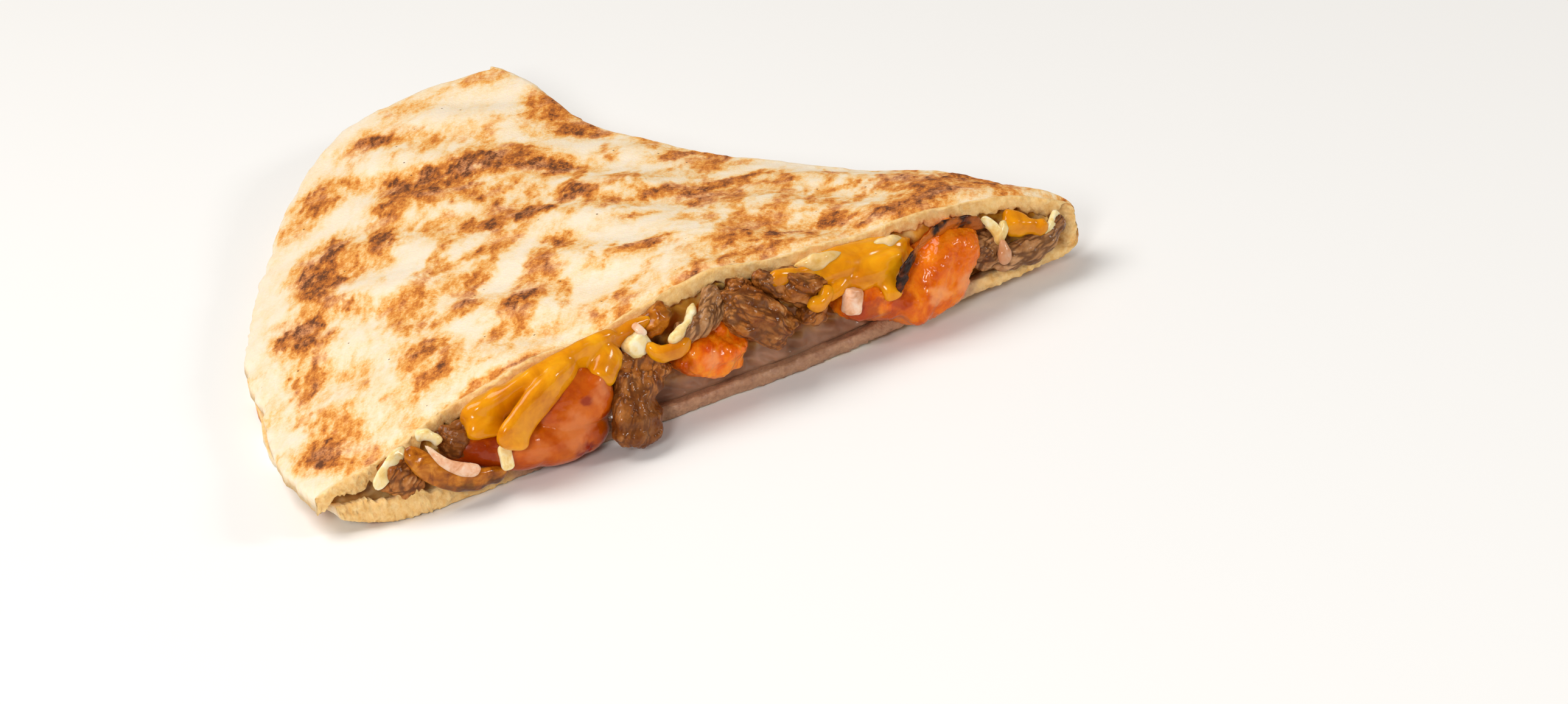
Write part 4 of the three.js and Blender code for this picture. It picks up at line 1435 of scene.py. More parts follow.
    def wall(self, start: np.ndarray, end: np.ndarray, bulge: float) -> np.ndarray:
        """Rounds a cut edge off between two faces.

        Args:
            start: the last column of one face
            end: the first column of the next
            bulge: how far the edge stands out between them, in mm

        Returns:
            Its columns, between the two.
        """
        steps = np.arange(1, self.wall_steps + 1) / (self.wall_steps + 1)
        t = (1 - np.cos(math.pi * steps[None, :, None])) / 2
        between = start[:, None] * (1 - t) + end[:, None] * t
        crumb = 0.3 * self.tear.layered(between, 2.2, 4, 0.7)
        crumb += 0.35 * smooth(self.blister.cells(between, 1.4), 0, 0.5)
        crumb *= 1 + 0.5 * smooth(-between[..., 0], 120, 132)
        between[..., 1] -= bulge * np.sqrt(4 * t * (1 - t))[..., 0] + crumb
        return between

    def skin_faces(self, outer: int, inner: int) -> list[tuple[int, ...]]:
        """Lists the faces round every row, and over the sheet's thin ends at the tip and the rim.

        Args:
            outer: how many columns the outer face has
            inner: how many the inner face has

        Returns:
            The faces of the whole sheet.
        """
        steps = self.wall_steps
        ring = outer + inner + 2 * steps
        faces = []
        for row in range(self.rows):
            start = row * ring
            for n in range(ring):
                beside = start + (n + 1) % ring
                faces.append((start + n, start + n + ring, beside + ring, beside))
        # An end is closed by a strip of triangles between the outer face's columns and all the others
        above = self.columns(self.outer_columns, self.outer_even)
        below = self.columns(self.inner_columns, self.inner_even)
        near = [(0.0, ring - 1 - n) for n in range(steps)]
        middle = [(place, ring - steps - 1 - n) for n, place in enumerate(below)]
        far = [(3.0, outer + steps - 1 - n) for n in range(steps)]
        upper = [(place, n) for n, place in enumerate(above)]
        lower = near + middle + far
        for row, flip in ((0, False), (self.rows, True)):
            start = row * ring
            a = b = 0
            while a < len(upper) - 1 or b < len(lower) - 1:
                ahead = b == len(lower) - 1 or (a < len(upper) - 1 and upper[a + 1][0] <= lower[b + 1][0])
                step = upper[a + 1] if ahead else lower[b + 1]
                corners = (start + upper[a][1], start + step[1], start + lower[b][1])
                faces.append(corners[::-1] if flip else corners)
                a, b = (a + 1, b) if ahead else (a, b + 1)
        return faces


@dataclass(frozen=True)
class MeltedBed:
    """The melted white cheese between the layers, from just behind the cut back to the fold.

    Args:
        name: the piece's name
        start, end: the reaches between which it lies, in mm from the tip
        back: the share of the wedge's angle that it goes back to
        front_over, front_under: how far the top and the bottom of its front lie behind the cut, by reach
        gap, sag: how far it stays under the upper layer, and how much further at its front
        under_gap: how far it stays above the lower layer
        hollow: how far its front is hollowed out low down
        rows, columns: facets from the tip to the rim and from the front to the back
        faces: facets up its front
        lump, run: where its lumps and its uneven stains come from
    """

    name: str = "melted_cheese_bed"
    start: float = 7.0
    end: float = 147.0
    back: float = 0.955
    front_over: Profile = Profile((7, 1.0), (40, 0.2), (80, 0.2), (112, 1.4), (130, 1.2), (147, 2.0))
    front_under: Profile = Profile(
        (7, 0.6), (40, -0.8), (90, -1), (106, 0.6), (114, 0), (121, -2), (132, -1), (147, 2),
    )
    gap: float = 0.3
    sag: float = 0.2
    under_gap: float = 0.15
    hollow: float = 0.5
    rows: int = 260
    columns: int = 30
    faces: int = 36
    lump: Noise = Noise(21)
    run: Noise = Noise(22)

    def build(self) -> bpy.types.Object:
        """Builds the bed, with lumps on its front and the stains that the filling left.

        Returns:
            The piece, in mm from the tip corner.
        """
        outwards = np.linspace(self.start, self.end, self.rows)
        inwards = np.arange(self.columns + 1) / self.columns
        reach, depth = np.meshgrid(outwards, inwards, indexing="ij")
        share = self.back * depth**1.5
        front = (1 - share / self.back) ** 4
        places = WEDGE.plan(reach, share)
        upper, lower = places.copy(), places.copy()
        upper[..., 1] += self.front_over(reach) * front
        upper[..., 2] = WEDGE.top(reach, share) - WEDGE.sheet - self.gap - self.sag * front
        lower[..., 1] += self.front_under(reach) * front
        lower[..., 2] = WEDGE.lift(reach, share) + WEDGE.sheet + self.under_gap
        t = (np.arange(1, self.faces) / self.faces)[None, :, None]
        between = lower[:, :1] * (1 - t) + upper[:, :1] * t
        between[..., 1] += self.hollow * np.sin(math.pi * t[..., 0]) * (1 - t[..., 0])
        between[..., 1] -= 0.8 * self.lump.layered(between, 6, 4, 0.6)
        runs = drawn_out(between, (1, 0, -0.6), 2.5)
        between[..., 1] -= 0.6 * smooth(self.lump.cells(runs, 2.6), 0, 0.6) - 0.3
        ring = np.concatenate([lower[:, ::-1], between, upper], axis=1)
        ends = np.stack([ring[0].mean(axis=0), ring[-1].mean(axis=0)])
        points = np.vstack([ring.reshape(-1, 3), ends])
        piece = mesh_object(self.name, Shell(points, tube_faces(self.rows, ring.shape[1])))
        room = WEDGE.top(reach[:, :1], share[:, :1]) - WEDGE.sheet - ring[..., 2]
        self.stain(piece.data, points, room.ravel())
        return piece

    def stain(self, mesh: bpy.types.Mesh, points: np.ndarray, room: np.ndarray) -> None:
        """Paints the bed grey-pink low down, from juice and partly as painted shade, and brown between that
        and its top, where sauce ran in and where painted shade fills the gaps between the filling.

        Args:
            mesh: its mesh
            points: its vertices, the two ends last
            room: how far all but the ends lie below the upper layer
        """
        ragged = 1.4 * self.run.layered(points, 5, 4, 0.6)
        x = points[:, 0]
        low = 1 - smooth(points[:, 2] + ragged, 5, 8)
        # Grey-pink low down: juice, darkened in part as painted shade
        wet = low * smooth(-x, 20, 40) * (0.45 + 0.55 * smooth(x, -120, -98))
        near_tip = smooth(x, -22, -8)
        near_top = np.append(1 - smooth(room + ragged[:-2], 4.5, 8.0), (0, 0))
        # Brown in the gaps between the filling: sauce, and painted shade
        sauced_and_shaded = 0.85 * smooth(ragged, -0.9, 0.0) * (1 - near_top) * smooth(x, -136, -124)
        paint(mesh, "stain", sauced_and_shaded * (1 - wet) * (1 - near_tip))
        paint(mesh, "pale", wet)


# ---------------------------------------------------------------------------------------------
# The filling


@dataclass(frozen=True)
class Spot:
    """A round patch of colour: its middle, its width in mm and its strength."""

    at: Place
    wide: float
    strength: float = 0.8


@dataclass
class Filling:
    """One piece of filling.

    Args:
        name: the piece's name
        node: the solid that it replaces, if any
        forms: what it is melted together from
        finish: what it is made of
        slot: the record's material slot, which is not used
        voxel: the size of its facets in mm
        ironing: how many times its skin is smoothed
        seed: a different number gives different relief
        stains, pales: where it is stained and where it is pale
    """

    name: str
    node: str | None
    forms: Sequence[Chunk | Strip]
    finish: MoistFood
    slot: str
    voxel: float = 0.3
    ironing: int = 5
    seed: int = 1
    stains: Sequence[Spot] = ()
    pales: Sequence[Spot] = ()

    def relief(self, places: np.ndarray) -> np.ndarray:
        """Returns how far each place is raised, in mm."""
        return 0.1 * Noise(self.seed).layered(places, 3, 3)

    def spots(self, places: np.ndarray, spots: Sequence[Spot]) -> np.ndarray:
        """Reads soft, uneven spots of colour.

        Args:
            places: the skin's vertices
            spots: the spots

        Returns:
            Their strength at each place.
        """
        ragged = 0.35 * Noise(self.seed + 7).layered(places, 2.2, 3, 0.6)
        total = np.zeros(len(places))
        for spot in spots:
            away = np.linalg.norm(places - spot.at, axis=1) / (spot.wide / 2)
            total = np.maximum(total, spot.strength * (1 - smooth(away + ragged, 0.5, 1.1)))
        return total

    def stain(self, places: np.ndarray) -> np.ndarray:
        """Returns how strongly each place is stained."""
        return self.spots(places, self.stains)

    def pale(self, places: np.ndarray) -> np.ndarray:
        """Returns how pale each place is."""
        return self.spots(places, self.pales)

    def build(self) -> bpy.types.Object:
        """Builds the piece's mesh with its relief and its layers of stain and pale.

        Returns:
            The piece, in mm from the tip corner.
        """
        piece = melted(self.name, [form.shell() for form in self.forms], self.voxel, self.ironing)
        mesh = piece.data
        places = coordinates(mesh)
        set_coordinates(mesh, places + self.relief(places)[:, None] * normals(mesh))
        paint(mesh, "stain", self.stain(places))
        paint(mesh, "pale", self.pale(places))
        return piece


@dataclass
class Shrimp(Filling):
    """A cooked shrimp: plump, with shallow segments, a fine skin and wrinkles where it shrank.

    Args:
        grain: the direction along its body
        segment_mm, segment_depth: how long its segments are, and how deep the lines between them
        wrinkle, pimple: how deep its wrinkles are, and how high its pimples
    """

    grain: Place = (0, 0, 1)
    segment_mm: float = 6.0
    segment_depth: float = 0.15
    wrinkle: float = 0.1
    pimple: float = 0.04
    voxel: float = 0.25

    def relief(self, places: np.ndarray) -> np.ndarray:
        """Adds up segments across the body, wrinkles along the grain and fine pimples.

        Args:
            places: the skin's vertices

        Returns:
            How far each place is raised, in mm.
        """
        noise = Noise(self.seed)
        bent = places + 1.2 * noise.layered(places, 7, 3)[:, None]
        way = np.array(self.grain, float) / np.linalg.norm(self.grain)
        phase = bent @ way * 2 * math.pi / self.segment_mm
        segments = -self.segment_depth * np.exp(-3 * (1 + np.sin(phase)))
        creases = smooth(noise.cells(drawn_out(bent, self.grain, 2.4), 2.2), 0, 0.5) - 0.7
        pimples = smooth(noise.cells(bent, 1.0), 0, 0.6) - 0.6
        return segments + self.wrinkle * creases + self.pimple * pimples + 0.15 * noise(places, 4)


@dataclass
class Beef(Filling):
    """A strip or scrap of beef: bundles of fibres with gaps between them, and crags where it was torn.

    Args:
        grain: the direction of its fibres
        fibre_mm: how wide a bundle is, drawn as coarse as it needs to show
        fibre_depth: how deep the gaps between bundles are, in mm
        crag: how high its crags are, in mm
    """

    grain: Place = (1, 0, 0)
    fibre_mm: float = 0.75
    fibre_depth: float = 0.27
    crag: float = 0.45
    voxel: float = 0.2

    def bundles(self, places: np.ndarray) -> np.ndarray:
        """Lays bundles of fibres along the grain.

        Args:
            places: the skin's vertices

        Returns:
            Their height at each place, from 0 in the gaps to 1 on their backs.
        """
        noise = Noise(self.seed)
        bend = np.stack([Noise(self.seed + n).layered(places, 6, 2) for n in (1, 2, 3)], axis=-1)
        bent = places + 0.9 * bend
        coarse = smooth(noise.cells(drawn_out(bent, self.grain, 4), 3.0 * self.fibre_mm), 0, 0.45)
        fine = smooth(noise.cells(drawn_out(bent + 9, self.grain, 6), self.fibre_mm), 0, 0.6)
        return lerp(coarse, fine, 0.4 + 0.25 * smooth(noise.layered(places, 5, 2), -0.4, 0.4))

    def relief(self, places: np.ndarray) -> np.ndarray:
        """Returns the bundles of fibres, and crags where the piece was torn."""
        crags = Noise(self.seed + 5).layered(places, 4.5, 4, 0.55)
        return self.crag * crags + self.fibre_depth * (self.bundles(places) - 0.6)

    def stain(self, places: np.ndarray) -> np.ndarray:
        """Returns painted shade in the gaps between bundles, and the piece's own stains."""
        # Painted shade: the gaps between bundles are darkened through the stain layer
        gaps = 0.75 * (1 - smooth(self.bundles(places), 0.1, 0.55))
        return np.maximum(gaps, self.spots(places, self.stains))

    def pale(self, places: np.ndarray) -> np.ndarray:
        """Returns a painted ginger highlight on the backs of bundles, in patches, and the piece's own pale
        spots.
        """
        # Painted highlight: the patches where the backs of bundles are lit ginger
        browned = smooth(Noise(self.seed + 6).layered(places, 3.5, 3), 0.0, 0.7)
        backs = 0.55 * smooth(self.bundles(places), 0.6, 1.0) * browned
        return np.maximum(backs, self.spots(places, self.pales))


@dataclass
class Onion(Filling):
    """A strip of onion, whose layers show as fine lines along it.

    Args:
        grain: the direction along it
        line_mm, line_depth: how far apart its lines are, and how deep
    """

    grain: Place = (1, 0, 0)
    line_mm: float = 0.9
    line_depth: float = 0.09

    def relief(self, places: np.ndarray) -> np.ndarray:
        """Adds up fine lines along the strip and soft swells.

        Args:
            places: the skin's vertices

        Returns:
            How far each place is raised, in mm.
        """
        noise = Noise(self.seed)
        lines = noise.layered(drawn_out(places, self.grain, 6.0), self.line_mm, 2)
        return self.line_depth * lines + 0.18 * noise.layered(places, 3.2, 2)


@dataclass
class Shred(Filling):
    """A shred or cube of cheese that has softened: its edges are rounded and its faces slightly hollow."""

    voxel: float = 0.2
    ironing: int = 3

    def relief(self, places: np.ndarray) -> np.ndarray:
        """Returns the soft dents of half-melted cheese."""
        return 0.07 * Noise(self.seed).layered(places, 2.5, 3)


@dataclass
class Molten(Filling):
    """Molten cheese: smooth, with soft folds drawn out along its run.

    Args:
        grain: the direction in which it ran
        fold: how high its folds are, in mm
    """

    grain: Place = (1, 0, 0)
    fold: float = 0.35
    ironing: int = 12

    def relief(self, places: np.ndarray) -> np.ndarray:
        """Returns a few soft folds along the run of the cheese."""
        noise = Noise(self.seed)
        return self.fold * noise(drawn_out(places, self.grain, 2.5), 3.6) + 0.12 * noise(places, 2.4)


def shrimps() -> list[Filling]:
    """Returns the three shrimp that show at the cut."""
    left = (
        Chunk((-102.8, -3.5, 10.6), (16.4, 12, 12.6), (0, -18, -8), 3, 0.05),
        Strip(
            ((-97, -4, 6), (-105, -5.5, 5.4), (-114, -5, 6.2), (-122, -3, 8.2), (-126, 1, 11)),
            9, 8.4, (1.12, 0.67), (0, 1, 0.2), 2,
        ),
        Chunk((-103.2, -8.4, 4.2), (2.4, 2.2, 3.4), (0, 20, 0), 4, 0.2),
    )
    middle = (
        Chunk((-75.4, -3.2, 10.8), (14.5, 11, 8.6), (10, 14, 5), 5, 0.07),
        Chunk((-71.8, -2, 14.2), (8.6, 7.5, 8.6), (0, 15, 0), 6, 0.07),
    )
    right = (
        Chunk((-29.2, -2.6, 9.9), (22, 12, 10.8), (-8, -30, 4), 8, 0.06),
        Chunk((-41.6, -3, 9.6), (16, 10, 8.4), (0, 14, 0), 9, 0.05),
        Chunk((-29.4, -5, 7.4), (12, 7.4, 8.6), (0, -20, 0), 10, 0.06),
    )
    return [
        Shrimp(
            "left_shrimp", "shrimp_left", left, SALMON_SHRIMP, "shrimp", seed=31, grain=(1, 0, -0.2),
            segment_mm=9, segment_depth=0.25, wrinkle=0.05, pimple=0.025,
            stains=(
                Spot((-122, -6, 6), 14, 0.7), Spot((-102, -9.4, 12.6), 2.4, 0.8),
                Spot((-99, -9.5, 8.6), 2.2, 0.8), Spot((-97, -9, 4), 6, 0.6), Spot((-107, -10, 5), 5, 0.3),
                Spot((-95, -8, 12), 4, 0.4), Spot((-103.2, -9.4, 3.4), 5, 1),
            ),
            pales=(
                Spot((-105, -10, 7.5), 8, 0.55), Spot((-99, -9, 13), 5, 0.6), Spot((-112, -9.5, 6), 6, 0.4),
            ),
        ),
        Shrimp(
            "middle_shrimp", "shrimp_middle", middle, SAUCED_SHRIMP, "shrimp", seed=32, grain=(0.3, 0, 1),
            segment_mm=8, segment_depth=0.06, wrinkle=0.14, pimple=0.12,
            stains=(Spot((-82, -6, 11), 6, 0.6),), pales=(Spot((-77, -9, 11), 4, 0.5),),
        ),
        Shrimp(
            "right_shrimp", "shrimp_right", right, WRINKLED_SHRIMP, "shrimp", seed=33, grain=(-0.5, 0, 1),
            segment_mm=9, segment_depth=0.08, wrinkle=0.14, pimple=0.12, ironing=9,
            stains=(Spot((-46, -7, 8), 9, 0.75), Spot((-42, -8, 5), 9, 0.6), Spot((-38, -8, 9), 5, 0.6)),
            pales=(Spot((-31, -9, 8), 5, 0.5), Spot((-25, -8, 8), 5, 0.4)),
        ),
    ]


def beef() -> list[Filling]:
    """Returns the strips and scraps of beef."""
    hanging = (
        Chunk((-89.6, -3.4, 12.8), (14.6, 9, 8.4), (0, 10, 0), 23, 0.13),
        Strip(
            ((-90, -5, 14), (-92, -8.4, 9.4), (-94, -10.8, 5.6), (-95.2, -12.2, 1.8)),
            9.2, 5, (1.2, 0.92, 1.05, 0.8), square=2.6, seed=23, rough=0.16, wave=7,
        ),
    )
    tip = (
        Chunk((-17.4, -0.8, 9.6), (9, 8, 6.8), (0, 20, 0), 31),
        Strip(
            ((-16.6, -2.8, 8.2), (-12, -3.4, 7.6), (-7, -3.4, 8), (-3.4, -2.8, 9.4), (-0.8, -2, 11.2)),
            5.2, 4.6, (1.05, 0.75), seed=31, rough=0.08,
        ),
    )
    bent = Strip(
        ((-73, -1.6, 21), (-73, -3.6, 19.6), (-75, -5.8, 18), (-79, -6.8, 17), (-82.4, -6, 17)),
        4.4, 3.6, up=(0.4, 1, 0.2), square=2.6, seed=24, rough=0.14,
    )
    pieces = (
        ("under_rim", (1, 0, 0.7), (Chunk((-135.4, -2.2, 7.4), (8.4, 6.4, 6.4), (10, 30, 0), 21),)),
        ("behind_onion", (1, 0, -0.5), (Chunk((-124.4, -2.6, 10.6), (6.8, 6, 6), (0, 10, 20), 22),)),
        ("hanging", (0.5, 0, 1), hanging),
        ("bent", (0.6, 0, 0.8), (bent,)),
        ("chunk", (1, 0, -0.7), (Chunk((-65.8, -5.2, 14.6), (16, 9, 8.4), (14, 40, -6), 26, 0.12),)),
        ("scrap_left", (1, 0, 0), (Chunk((-66.6, -2, 19.2), (5.2, 5, 3.8), (0, 30, 0), 27, 0.12),)),
        ("scrap_right", (1, 0, -1), (Chunk((-61.2, -3.6, 18.6), (7.6, 4.4, 3.8), (0, 48, 0), 28, 0.12),)),
        ("slab", (1, 0, -0.4), (Chunk((-55.6, -3.4, 16.2), (11, 7.6, 6.8), (8, 26, 4), 29, 0.13),)),
        ("crumb", (1, 0, 1), (Chunk((-54.8, -5.2, 11.6), (5.2, 4.6, 4.2), (0, 10, 0), 30, 0.12),)),
        ("tip", (1, 0, 0.2), tip),
    )
    steamed = ("bent", "tip")
    browned = (Spot((-93.4, -12, 5), 16, 0.55), Spot((-124, -5, 12), 9, 0.5), Spot((-66, -10, 12), 9, 0.35))
    return [
        Beef(
            "seared_beef_" + name, "beef_" + name, forms, STEAMED_BEEF if name in steamed else SEARED_BEEF,
            "beef", seed=41 + 6 * n, grain=grain, stains=browned,
        )
        for n, (name, grain, forms) in enumerate(pieces)
    ]


def onions() -> list[Filling]:
    """Returns the amber strip, the browned piece, the charred strip and the seed-like end."""
    amber = Strip(
        (
            (-134.2, -4.4, 13.4), (-132.4, -5.8, 9.8), (-128.8, -6.8, 6.4), (-124, -7.2, 4.5),
            (-117.6, -7.2, 4),
        ),
        4.4, 2.4, (0.8, 1.04, 1.1, 1.04, 0.9), (0, 1, 0.5), rough=0.06,
    )
    burnt = Strip(
        (
            (-38.8, -9, 10.8), (-38, -9.3, 14.2), (-35.2, -8.4, 16.6), (-31, -6.6, 18.2), (-25.6, -4.8, 18.5),
            (-20.8, -4, 17.2), (-17.4, -3.8, 14.8),
        ),
        3.4, 1.1, (0.5, 0.85, 1, 0.6, 0.6, 0.9, 0.8, 0.95, 0.6), (0, 1, 0.4), seed=7, rough=0.16, wave=4,
    )
    browned = Chunk((-83.8, -2.2, 19.2), (6.6, 6, 4.2), (0, -34, 0), 41, 0.12)
    return [
        Onion(
            "amber_onion", "onion_left", (amber,), FRIED_ONION, "onion", seed=101, grain=(0.9, 0, -0.5),
            stains=(
                Spot((-130, -7, 4.5), 4, 0.6), Spot((-126, -8, 3), 5, 0.7), Spot((-121, -8, 2.6), 5, 0.8),
                Spot((-117, -8, 3.2), 4, 0.7),
            ),
        ),
        Onion(
            "burnt_onion", "onion_charred", (burnt,), CHARRED_ONION, "charred_onion", seed=102,
            line_depth=0.16, voxel=0.2, ironing=3,
            pales=(
                Spot((-31.5, -7, 18), 7, 0.8), Spot((-26, -5, 17.6), 6, 0.8), Spot((-20, -4.6, 16), 5, 0.6),
            ),
        ),
        Onion(
            "browned_onion", "onion_browned", (browned,), FRIED_ONION, "onion", seed=103,
            stains=(Spot((-81, -4, 19.5), 4, 0.7),),
        ),
    ]


def shreds() -> list[Filling]:
    """Returns the shreds and cubes of white cheese."""
    seed_like = Strip(
        ((-14.9, -5, 12.2), (-15.2, -5.8, 10), (-15.4, -5.9, 7.6)), 2.4, 1.7, (0.5, 0.75, 1.1, 1.1, 0.8)
    )
    two_at_tip = (
        Strip(((-16.6, -1.4, 15.8), (-15, -2.6, 13.8), (-14.4, -3.6, 11.6)), 2, 1.2, square=5),
        Strip(((-12.4, -2.2, 14.2), (-13.6, -3.2, 12.6), (-15.6, -4, 11.2)), 1.8, 1.2, square=5),
    )
    under_rim = Strip(
        ((-133.8, -2, 12.4), (-137.6, -3.6, 10.4), (-141.2, -4.4, 7.8)),
        2.8, 0.9, (0.6, 1, 1, 0.8), (0, 1, -0.4), 5,
    )
    pink = Strip(
        ((-131.6, -6.2, 13.4), (-129.6, -8, 10.2), (-126.8, -8.6, 8), (-123.4, -8.8, 6.6)),
        2.6, 1.3, (0.35, 0.7, 1, 1.15), (0, 1, 0.4), 3.5,
    )
    curled = Strip(
        ((-131.8, -3, 14), (-130.4, -4, 14.2), (-129, -4.6, 13.2), (-128.4, -4.8, 12)),
        2.2, 1.9, (1.2, 0.8, 1), rough=0.1, wave=3,
    )
    grey = Strip(
        ((-76.2, -3, 20), (-78, -5, 18.8), (-80.2, -6.8, 18.2), (-82.6, -7.6, 17.2), (-83.4, -7.6, 15.8)),
        2.7, 1.7, (0.7, 1.15, 0.75, 1.1, 0.9), (0, 1, 0.4), 3, rough=0.12, wave=3,
    )
    short_pink = Strip(((-89, -4.6, 21), (-88.3, -5.8, 19.8), (-87.8, -6.2, 18.8)), 1.5, 0.8, square=4)
    under_drip = Strip(((-118.3, -8.2, 9.6), (-118.4, -9, 7.4), (-118.5, -9.4, 5)), 2.4, 1.2, square=5)
    right = Strip(((-1.2, -2, 12.2), (-3.4, -3.4, 10.8), (-6, -4.6, 9.2)), 2.2, 1.1, square=5)
    cube = Chunk((-89.2, -5.2, 17), (4.8, 3.4, 4.6), (0, -24, 12), 45, 0.04, 4)
    small_cube = Chunk((-47.6, -7.4, 12), (3.4, 2.6, 4.8), (0, 16, 0), 46, 0.03, 5)
    pieces = (
        ("flat_shred", "shred_under_rim", (under_rim,), WHITE_SHRED),
        ("pink_shred", "shred_pink", (pink,), PINK_SHRED),
        ("short_pink_shred", None, (short_pink,), PINK_SHRED),
        ("curled_shred", "shred_curl", (curled,), WHITE_SHRED),
        ("hanging_shred", "shred_under_drip", (under_drip,), WHITE_SHRED),
        ("white_cube", "cheese_cube", (cube,), WHITE_SHRED),
        ("grey_shred", "shred_grey", (grey,), WHITE_SHRED),
        ("pink_cube", "cube_on_shrimp", (small_cube,), PINK_SHRED),
        ("crossed_shreds", "shred_tip_left", two_at_tip, WHITE_SHRED),
        ("tip_shred", "shred_tip_right", (right,), WHITE_SHRED),
        ("seed_shaped_shred", "onion_seed", (seed_like,), PINK_SHRED),
    )
    tanned = (Spot((-15.2, -6, 9.5), 12, 0.6), Spot((-46.5, -8, 13.8), 4, 0.5))
    return [
        Shred(name, node, forms, finish, "cheese_shred", seed=111 + n, stains=tanned)
        for n, (name, node, forms, finish) in enumerate(pieces)
    ]


def molten_cheese() -> list[Filling]:
    """Returns the drips and pools of cheddar, and the string of white cheese over them."""
    drip = (
        Strip(
            ((-123.4, -3.2, 13.4), (-114, -4.4, 15.8), (-104, -4.4, 17), (-95, -3.8, 18.4), (-84, -3, 20)),
            5.8, 4.4, (1.1, 1.05, 1, 0.75, 0.6), (0, 1, 0.3), seed=51, rough=0.1,
        ),
        Strip(((-119, -3.4, 14.6), (-119.6, -4.8, 12.6), (-120, -5.4, 10.4)), 7.6, 3.8),
        Strip(
            (
                (-101, -5.8, 18), (-107.4, -7.6, 16.4), (-113, -8.8, 13.6), (-116.4, -9.6, 11.2),
                (-117.8, -9.8, 8.8),
            ),
            7, 3.6, (0.86, 0.87, 0.9, 0.96, 1.06), (0, 1, 0.2),
        ),
        Strip(((-93.4, -4.2, 18), (-96, -6.2, 16.2), (-98.8, -8, 14)), 5.4, 4),
        Strip(
            ((-119, -4.6, 14.4), (-110, -5.2, 16.9), (-101, -4.8, 18.5), (-92, -4, 19.4)),
            6.2, 3.2, up=(0, 1, 0.3),
        ),
    )
    pool = (
        Chunk((-43.5, -2.4, 16.8), (23, 7, 6), (0, 4, 0), 55, 0.08),
        Chunk((-40.6, -4.6, 15.2), (13, 6.6, 5.4), (0, -4, 0), 56, 0.08),
        Strip(((-40.6, -6.4, 14.4), (-40, -7.8, 12.2), (-39.8, -8.4, 9.8)), 4, 2.4),
        Strip(
            ((-61.8, -4.4, 20), (-58.2, -4.6, 19.6), (-54, -3.8, 18.6), (-50, -3.2, 17.4)),
            2.8, 2.2, (1.3, 0.7, 1.2),
        ),
        Strip(((-46, -4.8, 15.4), (-49.4, -6.2, 14.6), (-52.6, -6.6, 14)), 2.4, 1.8),
    )
    smile = Strip(
        ((-88, -6.4, 17.6), (-86.6, -7.4, 15.8), (-84.2, -8, 15), (-81.6, -8, 15.2), (-80, -7.4, 16.4)),
        3.2, 2.4, (0.8, 1.1, 1, 0.7), (0, 1, 0.3), rough=0.08, wave=4,
    )
    on_beef = (
        Strip(((-55.8, -6.8, 15), (-54.6, -7.6, 13.6), (-52.8, -7.2, 14)), 3, 2.4, up=(0, 1, 0.3)),
        Strip(((-53.6, -7.4, 13.8), (-52.4, -6.8, 14.6), (-51.8, -5.4, 15.8)), 2.8, 2.4, up=(0, 1, 0.3)),
    )
    at_tip = (
        Strip(
            ((-13.4, -1.8, 13.4), (-10.4, -2.6, 12.4), (-7.2, -3.2, 11.6), (-4.6, -3.6, 10.4)),
            3.6, 2.8, (0.8, 1.15, 0.75, 1.15), (0, 1, 0.2), rough=0.1, wave=3,
        ),
        Strip(((-12, -1.2, 14.6), (-9.8, -1.8, 13.8), (-7.6, -2.4, 12.6)), 2.6, 2.2, (1.2, 0.8)),
    )
    white = Strip(
        (
            (-56, -2.6, 20), (-51.4, -3.6, 19.7), (-46, -3, 19), (-40, -3.2, 18.5), (-36, -3.8, 17.9),
            (-33.4, -3, 17),
        ),
        3.4, 2.4, (0.5, 1.15, 0.95, 0.4, 0.5, 1.15, 1.0, 0.6), (0, 1, 0.4), rough=0.12, wave=4,
    )
    pieces = (
        ("dripping_cheddar", "cheddar_drip", drip, (1, 0, 0.5)),
        ("curved_cheddar", "cheddar_smile", (smile,), (1, 0, 0)),
        ("cheddar_drop", "cheddar_on_beef", on_beef, (1, 0, 0)),
        ("cheddar_pool", "cheddar_melt", pool, (1, 0, 0.2)),
        ("cheddar_string", "cheddar_tip", at_tip, (1, 0, -0.3)),
    )
    cheddar: list[Filling] = [
        Molten(name, node, forms, MOLTEN_CHEDDAR, "cheddar", seed=131 + n, grain=grain)
        for n, (name, node, forms, grain) in enumerate(pieces)
    ]
    golden = (Spot((-45, -3, 19), 40, 0.4),)
    string = Molten(
        "white_string", "white_melt", (white,), WHITE_SHRED, "white_cheese", seed=141, stains=golden
    )
    return [*cheddar, string]


# ---------------------------------------------------------------------------------------------
# The studio


@dataclass(frozen=True)
class Softbox:
    """A square light.

    Args:
        name: its name
        at: where it hangs, in metres
        aim: what it points at
        wide: its width in metres
        watts: its power
        colour: its colour
    """

    name: str
    at: Place
    aim: Place
    wide: float
    watts: float
    colour: str = "#ffffff"


